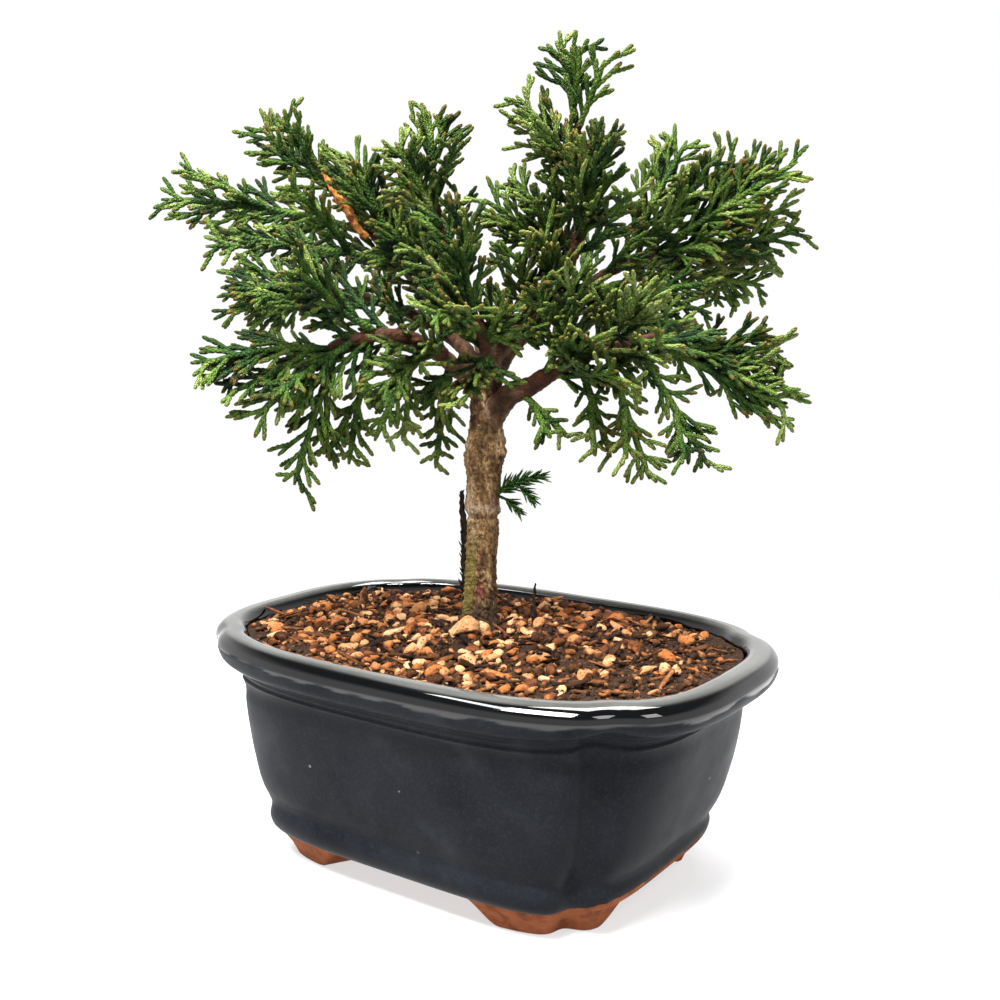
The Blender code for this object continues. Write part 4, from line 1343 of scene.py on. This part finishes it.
def skin_shoots(shoots, rings, sides, seed):
    """Points, quads, fans, corner (u, v) and numbers for many shoots as closed knobbly rods.

    Radius = (low + (high - low) t) * knob(t), knob alternating ring by ring, and the
    last rings draw in to a blunt tip.
    """
    chance = np.random.default_rng(seed)
    count = len(shoots["length"])
    share = np.concatenate((np.linspace(0.0, 0.86, rings - 2), (0.95, 1.0)))
    knob = np.where(np.arange(rings) % 2, 1.08, 0.94)
    knob[-3:] = (0.98, 0.78, 0.42)
    way, bend = shoots["way"][:, None], shoots["bend"][:, None]
    length = shoots["length"][:, None, None]
    t = share[None, :, None]
    centre = shoots["base"][:, None] + length * (way * t + 0.5 * bend * t**2)
    along = unit(way + bend * t)
    up = square_to(np.broadcast_to(shoots["face"][:, None], along.shape), along)
    side = np.cross(up, along)
    radius = shoots["low"][:, None] + (shoots["high"] - shoots["low"])[:, None] * share[None, :]
    radius = radius * knob * chance.uniform(0.93, 1.07, (count, rings))
    angle = np.arange(sides) / sides * 2.0 * np.pi
    angle = angle[None, :] + (np.arange(rings) % 2)[:, None] * np.pi / sides
    across, rising = np.cos(angle)[None, ..., None], 0.9 * np.sin(angle)[None, ..., None]
    spoke = across * side[:, :, None] + rising * up[:, :, None]
    body = centre[:, :, None] + radius[..., None, None] * spoke
    nose = radius[:, [0, -1], None] * np.array((0.0, 0.35))[:, None]
    ends = centre[:, [0, -1]] + along[:, [0, -1]] * nose
    points = np.concatenate((body.reshape(count, -1, 3), ends), axis=1)
    step = (np.arange(count) * points.shape[1])[:, None, None]
    quads = (grid_faces(rings, sides, True)[None] + step).reshape(-1, 4)
    fans = end_fans(rings, sides)
    fans_all = (fans[None] + step).reshape(-1, 3)
    row = np.arange(rings - 1)[:, None, None]
    column = np.arange(sides)[None, :, None]
    u = np.broadcast_to((column + np.array((0, 1, 1, 0))) / sides, (rings - 1, sides, 4))
    v = np.broadcast_to(share[row + np.array((0, 0, 1, 1))], (rings - 1, sides, 4))
    scales_along = v[None] * shoots["length"][:, None, None, None] / SCALE_LENGTH
    quad_uv = np.stack((np.broadcast_to(u, (count, *u.shape)), scales_along), axis=-1)
    fan_uv = np.zeros((count, len(fans), 3, 2))
    fan_uv[:, sides:, :, 1] = shoots["length"][:, None, None] / SCALE_LENGTH
    uv = np.concatenate((quad_uv.reshape(-1, 2), fan_uv.reshape(-1, 2)))
    from_tip = (1.0 - share)[None, :] * shoots["length"][:, None]
    tip = np.repeat(1.0 - smooth_step(from_tip, 0.2, 2.2), sides, axis=1)
    tip = np.concatenate((tip, np.zeros((count, 1)), np.ones((count, 1))), axis=1)
    tone = np.broadcast_to(shoots["tone"][:, None], tip.shape)
    return points.reshape(-1, 3), quads, fans_all, uv, {"tip": tip.ravel(), "tone": tone.ravel()}


def add_foliage(name, shoots, seed):
    """One piece from shoots: long ones get many rings and short ones few."""
    long = shoots["length"] > LONG_SHOOT
    parts = []
    for chosen, rings in ((long, LONG_RINGS), (~long, SHORT_RINGS)):
        if chosen.any():
            picked = {key: value[chosen] for key, value in shoots.items()}
            parts.append(skin_shoots(picked, rings, TWIG_SIDES, seed))
    starts = np.cumsum([0] + [len(part[0]) for part in parts])
    quads = np.vstack([part[1] + start for part, start in zip(parts, starts)])
    fans = np.vstack([part[2] + start for part, start in zip(parts, starts)])
    quad_uv = [part[3][: len(part[1]) * 4] for part in parts]
    fan_uv = [part[3][len(part[1]) * 4 :] for part in parts]
    numbers = {key: np.concatenate([part[4][key] for part in parts]) for key in parts[0][4]}
    points = np.vstack([part[0] for part in parts])
    return add_mesh(name, points, quads, fans, numbers, np.vstack((*quad_uv, *fan_uv)))


# %% [markdown]
# ### Where the sprays stand
#
# Each row names the branch a spray grows from, how far along it, where its tip ends,
# half its width and its lean. Side fronds leave the main stem out of its plane, so a
# spray is a loose plume and not a sheet of paper. The extra plumes stand for foliage
# that the CAD model leaves to its branches, and they close the crown's middle.

# %% Sprays
# Branch, share of its length, tip, half width in mm and lean in degrees.
SPRAYS = {
    "spray_apex": ("branch_leader", 1.0, (10, 20, 219), 7, 0),
    "spray_apex_left": ("branch_leader", 0.74, (3, 9, 205), 8, 10),
    "spray_apex_right": ("branch_leader", 0.80, (17, 31, 197), 7, -15),
    "spray_top_front": ("branch_leader", 0.58, (28, 9, 189), 10, 30),
    "spray_top_left": ("branch_leader", 0.46, (-1, 0, 178), 9, 20),
    "spray_left_peak": ("branch_centre", 1.0, (-19, 1, 202), 7, 0),
    "spray_left_crest": ("branch_left_high", 0.60, (-38, -11, 192), 10, 15),
    "spray_left_high": ("branch_left_high", 1.0, (-68, -14, 200), 9, 0),
    "spray_left_reach": ("branch_left_high", 0.74, (-74, -46, 178), 10, 20),
    "spray_left_back": ("branch_left_back", 1.0, (-80, -15, 152), 11, 10),
    "spray_left_cushion": ("branch_left_low", 0.66, (-38, -49, 156), 13, 50),
    "spray_left_low": ("branch_left_low", 1.0, (-48, -56, 135), 10, 40),
    "spray_left_hang": ("branch_left_low", 0.93, (-34, -38, 103), 10, 0),
    "spray_left_drop": ("branch_left_low", 0.72, (-31, -20, 107), 7, 0),
    "spray_middle_drop": ("branch_left_low", 0.36, (-22, -20, 114), 8, 10),
    "spray_middle_strand": ("branch_left_low", 0.12, (-17, 0, 105), 6, 0),
    "spray_centre_left": ("branch_left_low", 0.24, (-10, -32, 128), 8, 30),
    "spray_centre_rise": ("branch_front", 1.0, (1, -20, 172), 10, 30),
    "spray_centre_face": ("branch_front", 0.72, (8, -33, 147), 9, 60),
    "spray_centre_skirt": ("branch_front", 0.20, (10, -20, 127), 7, 30),
    "spray_centre_back": ("branch_centre", 0.45, (-39, 10, 179), 10, -10),
    "spray_shoulder": ("branch_right_back", 0.76, (31, 55, 197), 9, 0),
    "spray_shoulder_right": ("branch_right_back", 0.90, (45, 57, 192), 8, 15),
    "spray_far_right": ("branch_right_back", 1.0, (63, 58, 189), 10, 0),
    "spray_far_right_low": ("branch_right_back", 0.96, (61, 66, 171), 8, 30),
    "spray_right_back": ("branch_right_back", 0.84, (47, 76, 156), 10, 20),
    "spray_right_fill": ("branch_right_back", 0.55, (33, 54, 138), 10, 20),
    "spray_right_face": ("branch_right_low", 0.62, (44, 5, 155), 10, 50),
    "spray_right_face_low": ("branch_right_low", 0.40, (35, -6, 143), 9, 60),
    "spray_right_middle": ("branch_right_low", 1.0, (65, 47, 138), 10, 30),
    "spray_right_low": ("branch_right_low", 0.95, (69, 42, 123), 10, 20),
    "spray_right_hang": ("branch_right_low", 0.84, (53, 28, 107), 9, 0),
    "spray_right_drop": ("branch_right_low", 0.70, (40, 19, 104), 8, 10),
    "spray_right_strand": ("branch_right_low", 0.52, (27, 21, 109), 5, 0),
    "spray_under_branch": ("branch_right_low", 0.16, (20, 11, 115), 4, 0),
}
EXTRA_PLUMES = (
    ("branch_leader", 0.22, (10, 0, 164), 8, 20),
    ("branch_leader", 0.10, (4, -6, 152), 8, 35),
    ("branch_leader", 0.52, (2, 7, 184), 8, 10),
    ("branch_leader", 0.34, (14, 5, 170), 8, 30),
    ("branch_leader", 0.60, (12, 14, 195), 8, 15),
    ("branch_leader", 0.30, (28, 14, 153), 8, 40),
    ("branch_front", 0.60, (17, 4, 144), 7, 30),
    ("branch_front", 0.30, (7, -3, 131), 6, 10),
    ("branch_right_back", 0.60, (38, 60, 148), 8, 10),
    ("branch_left_low", 0.06, (-15, -8, 122), 6, 0),
    ("branch_left_low", 0.20, (-8, -15, 141), 8, 40),
    ("branch_left_high", 0.55, (-55, -48, 165), 8, 20),
    ("branch_left_low", 0.80, (-38, -48, 121), 8, 20),
    ("branch_centre", 0.80, (-22, -10, 193), 8, 15),
    ("branch_left_high", 0.35, (-22, -14, 172), 9, 30),
    ("branch_right_low", 0.30, (28, 0, 160), 8, 40),
    ("branch_right_low", 0.46, (42, -3, 134), 8, 70),
    ("branch_right_low", 0.64, (49, 8, 141), 8, 60),
)
SPRAY_FACES = np.array((0.57, -0.81, 0.15))  # the way that most sprays face
SPRAY_ARCH = 0.28
SIDE_FRONDS = 3
EXTRA_SIDE_FRONDS = 2
WIDTH_SHARE = 0.86
# Hanging sprays are open: they are narrower and carry one side frond.
OPEN_SPRAYS = ("hang", "drop", "strand", "under")
OPEN_WIDTH_SHARE = 0.62
BRANCH_STEPS = 60


def branch_point(name, share):
    """The place on a branch's centre line at a share of its length outside the trunk."""
    rows = smooth_rows(BRANCHES[name][1:], BRANCH_STEPS)
    return rows[int(round(share * (BRANCH_STEPS - 1))), :3]


def spray_stems(base, tip, lean, chance, side_fronds, tone):
    """The main stem from base to tip, and shorter side stems that leave it all round."""
    reach = tip - base
    length = float(np.linalg.norm(reach))
    way = reach / length
    face = square_to(SPRAY_FACES, way)
    lean = math.radians(lean)
    face = math.cos(lean) * face + math.sin(lean) * np.cross(way, face)
    start_way = (way + SPRAY_ARCH * face)[None]
    bend = (-2.0 * SPRAY_ARCH * face)[None]
    main = shoot_set(base[None], start_way, bend, face[None], length * 0.97, 1.15, 0.85, tone)
    share = 0.06 + 0.56 * (np.arange(side_fronds) + chance.random(side_fronds)) / side_fronds
    place, along = point_on(main, np.zeros(side_fronds, int), share)
    face = square_to(np.broadcast_to(face, along.shape), along)
    swing = np.where(np.arange(side_fronds) % 2, 1.0, -1.0) * chance.uniform(0.5, 1.3, side_fronds)
    swing = swing + np.where(chance.random(side_fronds) < 0.5, np.pi, 0.0)
    out = np.cos(swing)[:, None] * np.cross(face, along) + np.sin(swing)[:, None] * face
    open_by = np.radians(chance.uniform(24.0, 44.0, side_fronds))[:, None]
    side_way = np.cos(open_by) * along + np.sin(open_by) * out
    side_bend = 0.5 * (along - side_way * (along * side_way).sum(axis=1, keepdims=True))
    side_length = length * (1.0 - share) * chance.uniform(0.62, 0.92, side_fronds)
    tilt = chance.normal(0.0, 0.35, (side_fronds, 3))
    side_face = square_to(face + tilt, side_way)
    side = shoot_set(place, side_way, side_bend, side_face, side_length, 1.0, 0.85, tone)
    return main, side


def grow_spray(base, tip, half_width, lean, side_fronds, seed):
    """All shoots of one spray: the main frond and its narrower side fronds."""
    chance = np.random.default_rng(seed)
    tone = 0.5 + chance.normal(0.0, 0.08)
    main, side = spray_stems(base, np.asarray(tip, float), lean, chance, side_fronds, tone)
    shoots = frond(main, half_width, chance, 0.16)
    return join_sets(shoots, frond(side, half_width * 0.66, chance, 0.10))


# %% [markdown]
# ### Leaf finish
#
# Two sets of waves wind round a twig, one each way, and where they cross they leave
# the diamonds of scale leaves. Shade is painted into the seams between the scales and
# into places shut in by other twigs, and the youngest tips turn brown in patches.

# %% Leaf finish
leaf = Recipe("scale_leaves", 0.5)
leaf_uv = leaf.node("ShaderNodeUVMap", {}, "UV", uv_map="UVMap")
leaf_round = leaf.sums("MULTIPLY", leaf.node("ShaderNodeSeparateXYZ", {0: leaf_uv}, 0), 4.0 * math.pi)
leaf_along = leaf.sums("MULTIPLY", leaf.node("ShaderNodeSeparateXYZ", {0: leaf_uv}, 1), math.pi)
rising, falling = (
    leaf.sums("ABSOLUTE", leaf.sums("SINE", leaf.sums(kind, leaf_round, leaf_along), 0.0), 0.0)
    for kind in ("ADD", "SUBTRACT")
)
scales = leaf.sums("MULTIPLY", rising, falling)
leaf_cloud = leaf.spread(leaf.noise(110.0, 4.0, 0.6), 0.3, 0.7, -0.28, 0.28)
leaf_colour = leaf.ramp(
    leaf.sums("ADD", leaf.attribute("tone"), leaf_cloud),
    (0.05, (0.004, 0.014, 0.004)),
    (0.33, (0.019, 0.052, 0.008)),
    (0.60, (0.074, 0.136, 0.018)),
    (0.90, (0.205, 0.275, 0.068)),
)
# Ambient occlusion, used below for painted shade where other twigs shut a twig in.
ao_for_painted_shade = leaf.node("ShaderNodeAmbientOcclusion", {"Distance": 0.016}, "AO", samples=6)
LEAF_LAYERS = (
    # Painted shade in the seams between the scale leaves.
    (leaf.spread(scales, 0.0, 0.30, 0.62, 0.0), (0.003, 0.009, 0.003)),
    (leaf.share("tip", leaf.noise(75.0, 3.0, 0.6), 0.42, 0.64, 0.08, 0.72), (0.150, 0.082, 0.016)),
    # Painted shade from the ambient occlusion.
    (leaf.spread(ao_for_painted_shade, 0.15, 0.80, 0.72, 0.0), (0.002, 0.006, 0.002)),
)
for share, colour in LEAF_LAYERS:
    leaf_colour = leaf.blend(share, leaf_colour, colour)
leaf_finish = leaf.finish(
    leaf_colour,
    leaf.spread(scales, 0.0, 0.5, 0.70, 0.46),
    leaf.bump(leaf.sums("POWER", scales, 0.6), 0.00028, 1.0),
)
leaf.shader.inputs["Specular IOR Level"].default_value = 0.10

# %% Grow the sprays
shoot_total = 0
for number, (name, (limb_name, share, tip, half, lean)) in enumerate(SPRAYS.items()):
    start = branch_point(limb_name, share)
    is_open = any(word in name for word in OPEN_SPRAYS)
    half = half * (OPEN_WIDTH_SHARE if is_open else WIDTH_SHARE)
    fronds = 1 if is_open else SIDE_FRONDS
    shoots = grow_spray(start, tip, half, lean, fronds, 200 + number)
    shoot_total += len(shoots["length"])
    piece = add_foliage(name.replace("spray", "plume"), shoots, 300 + number)
    finish_piece(piece, leaf_finish, name)
for number, (limb_name, share, tip, half, lean) in enumerate(EXTRA_PLUMES):
    start = branch_point(limb_name, share)
    shoots = grow_spray(start, tip, half * WIDTH_SHARE, lean, EXTRA_SIDE_FRONDS, 400 + number)
    shoot_total += len(shoots["length"])
    piece = add_foliage(f"extra_plume_{number + 1}", shoots, 450 + number)
    finish_piece(piece, leaf_finish, limb_name)
print("shoots in the sprays:", shoot_total)

# %% [markdown]
# ### Fillers
#
# Along every branch stand short plumes that point outward and a little up. Their
# ways are spread evenly round the branch by the golden angle, so no side is bare.

# %% Fillers along the branches
GOLDEN_ANGLE = math.radians(137.5)
FILLER_STEPS = 80
# How many, first and last share of the branch, and length in mm.
FILLERS = {
    "branch_leader": (10, 0.16, 0.97, 17),
    "branch_right_low": (7, 0.34, 0.98, 17),
    "branch_left_low": (7, 0.20, 0.98, 18),
    "branch_left_high": (7, 0.22, 0.98, 17),
    "branch_left_back": (7, 0.25, 0.98, 17),
    "branch_centre": (6, 0.20, 0.95, 17),
    "branch_right_back": (8, 0.25, 0.98, 18),
    "branch_front": (5, 0.20, 0.95, 14),
}


def filler_shoots(name, count, first, last, length, seed):
    """Short plumes along one branch, each turned from the last by the golden angle."""
    chance = np.random.default_rng(seed)
    rows = smooth_rows(BRANCHES[name][1:], FILLER_STEPS)[:, :3]
    ways, side, other = carried_frames(rows)
    share = np.linspace(first, last, count)
    at = np.round(share * (FILLER_STEPS - 1)).astype(int)
    swing = (np.arange(count) * GOLDEN_ANGLE + chance.uniform(0, 6.28))[:, None]
    out = np.cos(swing) * side[at] + np.sin(swing) * other[at]
    way = unit(0.75 * ways[at] + 0.85 * out + np.array((0.0, 0.0, 0.22)))
    bend = np.array((0.0, 0.0, 0.25)) + chance.normal(0.0, 0.08, (count, 3))
    face = square_to(SPRAY_FACES + chance.normal(0.0, 0.45, (count, 3)), way)
    reach = length * chance.uniform(0.8, 1.2, count)
    # Fillers sit inside the crown and start darker than the sprays: partly older growth, partly painted
    # shade.
    tone = 0.42 + chance.normal(0.0, 0.08, count)
    stems = shoot_set(rows[at], way, bend, face, reach, 0.95, 0.8, tone)
    return frond(stems, length * 0.34, chance, 0.14)


filler_total = 0
for number, (name, (count, first, last, length)) in enumerate(FILLERS.items()):
    shoots = filler_shoots(name, count, first, last, length, 500 + number)
    filler_total += len(shoots["length"])
    piece = add_foliage(name.replace("branch", "tufts"), shoots, 600 + number)
    finish_piece(piece, leaf_finish, name)
print("shoots in the fillers:", filler_total)

# %% [markdown]
# ## Small shoots and dead wood
#
# Low on the trunk a juvenile shoot carries real needles in a spiral. Behind the
# trunk's left side stands a blackened dead shoot, an orange dead twig shows through
# the left of the crown, and two dry spikes stick out of the soil.

# %% Needle shoot


def needle_set(stem, count, first, length, radius, open_angle, chance):
    """Needles in a golden-angle spiral along one stem, leaning forward by open_angle."""
    index = np.zeros(count, int)
    share = np.linspace(first, 0.995, count)
    place, along = point_on(stem, index, share)
    face = square_to(stem["face"][index], along)
    swing = (np.arange(count) * GOLDEN_ANGLE)[:, None]
    out = np.cos(swing) * np.cross(face, along) + np.sin(swing) * face
    open_by = np.radians(open_angle * (1.15 - 0.55 * share) + chance.normal(0, 5, count))[:, None]
    way = np.cos(open_by) * along + np.sin(open_by) * out
    bend = 0.35 * (along - way) + chance.normal(0.0, 0.06, (count, 3))
    reach = length * (1.0 - 0.35 * share) * chance.uniform(0.8, 1.15, count)
    tone = 0.36 + chance.normal(0.0, 0.10, count)
    face = square_to(face + 0.01, way)
    return shoot_set(place, way, bend, face, reach, radius, 0.22 * radius, tone)


def single_stem(base, tip, face, arch, low, high, tone):
    """One bowed stem between two places."""
    base, tip = np.asarray(base, float), np.asarray(tip, float)
    length = np.linalg.norm(tip - base)
    way = (tip - base) / length
    face = square_to(np.asarray(face, float), way)[None]
    return shoot_set(base[None], way + arch * face, -2 * arch * face, face, length, low, high, tone)


chance = np.random.default_rng(91)
main_stem = single_stem((-2.0, 6.2, 98.0), (11.6, 9.6, 104.6), (0, 0, 1), 0.30, 0.75, 0.45, 0.25)
low_stem = single_stem((0.2, 6.6, 98.6), (5.6, 8.0, 94.6), (0, 0, 1), 0.35, 0.5, 0.35, 0.25)
end_stem = single_stem((4.6, 7.6, 102.0), (10.2, 8.0, 98.2), (0, 0, 1), 0.30, 0.45, 0.35, 0.25)
needles = join_sets(
    main_stem,
    low_stem,
    end_stem,
    needle_set(main_stem, 62, 0.18, 5.6, 0.52, 52.0, chance),
    needle_set(low_stem, 26, 0.25, 4.4, 0.46, 46.0, chance),
    needle_set(end_stem, 26, 0.25, 4.4, 0.46, 46.0, chance),
)
needle_leaf = Recipe("needle_leaves", 0.45)
needle_cloud = needle_leaf.noise(500.0, 3.0, 0.6)
needle_shift = needle_leaf.spread(needle_cloud, 0.3, 0.7, -0.2, 0.2)
needle_colour = needle_leaf.ramp(
    needle_leaf.sums("ADD", needle_leaf.attribute("tone"), needle_shift),
    (0.05, (0.006, 0.018, 0.005)),
    (0.42, (0.024, 0.062, 0.012)),
    (0.80, (0.095, 0.150, 0.034)),
)
needle_finish = needle_leaf.finish(
    needle_colour,
    needle_leaf.spread(needle_cloud, 0.3, 0.7, 0.38, 0.6),
    needle_leaf.bump(needle_leaf.noise(2500.0, 2.0), 0.0001, 0.7),
)
finish_piece(add_foliage("juvenile_needles", needles, 92), needle_finish, "needle_shoot")

# %% Dead wood
RODS = {
    "dead_shoot": (
        (-9.7, 3.2, 62, 0.6), (-9.2, 3.3, 71, 0.7), (-9.4, 3.2, 80, 0.8), (-9.1, 3.3, 88, 0.9),
        (-9.9, 2.9, 95, 0.6), (-9.8, 2.8, 100, 0.3),
    ),
    "dead_twig": (
        (-33, -8, 168, 0.9), (-35, -10, 171, 0.9), (-37.5, -11.5, 176, 1.1), (-40.5, -13.5, 181, 0.9),
        (-43, -14.5, 186, 0.4),
    ),
    "soil_spike": (
        (7.6, 12, 60, 0.45), (8, 12, 65, 0.55), (7.9, 12, 69, 0.4), (8.5, 12, 74.5, 0.15),
    ),
    "soil_stub": (
        (-52, 9, 59.5, 0.7), (-52, 9, 62.5, 1.0), (-51.8, 9, 64.4, 0.8), (-51.6, 9, 66.2, 0.2),
    ),
}
ROD_COLOURS = {
    "dead_shoot": ((0.004, 0.003, 0.002), (0.022, 0.014, 0.009)),
    "dead_twig": ((0.110, 0.034, 0.008), (0.400, 0.160, 0.036)),
    "soil_spike": ((0.006, 0.004, 0.003), (0.030, 0.017, 0.010)),
    "soil_stub": ((0.060, 0.022, 0.010), (0.210, 0.090, 0.036)),
}


def rod_relief(seed):
    """Splits along a dry stick and knobs where its leaves fell, in mm."""

    def relief(angle, run, z):
        split = value_noise(np.cos(angle) * 3.0 + 20.0, np.sin(angle) * 3.0 + run * 0.25, 0.8, seed)
        knobs = np.abs(np.sin(run * 1.15 + np.sin(angle) * 1.4)) ** 6
        return 0.34 * (split - 0.5) + 0.26 * knobs

    return relief


for number, (name, path) in enumerate(RODS.items()):
    dark, light = ROD_COLOURS[name]
    dry = Recipe(name + "_wood", 0.85)
    dry_grain = dry.noise(800.0, 4.0, 0.65, stretch=(1.0, 1.0, 0.4))
    dry_colour = dry.ramp(dry_grain, (0.35, dark), (0.65, light))
    dry_rough = dry.spread(dry_grain, 0.3, 0.7, 0.7, 0.92)
    dry_finish = dry.finish(dry_colour, dry_rough, dry.bump(dry_grain, 0.0003, 0.9))
    rod = add_limb(name + "_stick", path, 90, 20, rod_relief(95 + number))
    finish_piece(rod, dry_finish, name)
    if name == "dead_shoot":
        scale_stem = single_stem((-9.6, 3.0, 70), (-9.9, 2.8, 99), (1, 0, 0), 0.02, 0.5, 0.3, 0.2)
        scales = needle_set(scale_stem, 70, 0.05, 2.6, 0.42, 38.0, chance)
        finish_piece(add_foliage("dead_scales", scales, 99), dry_finish, name)
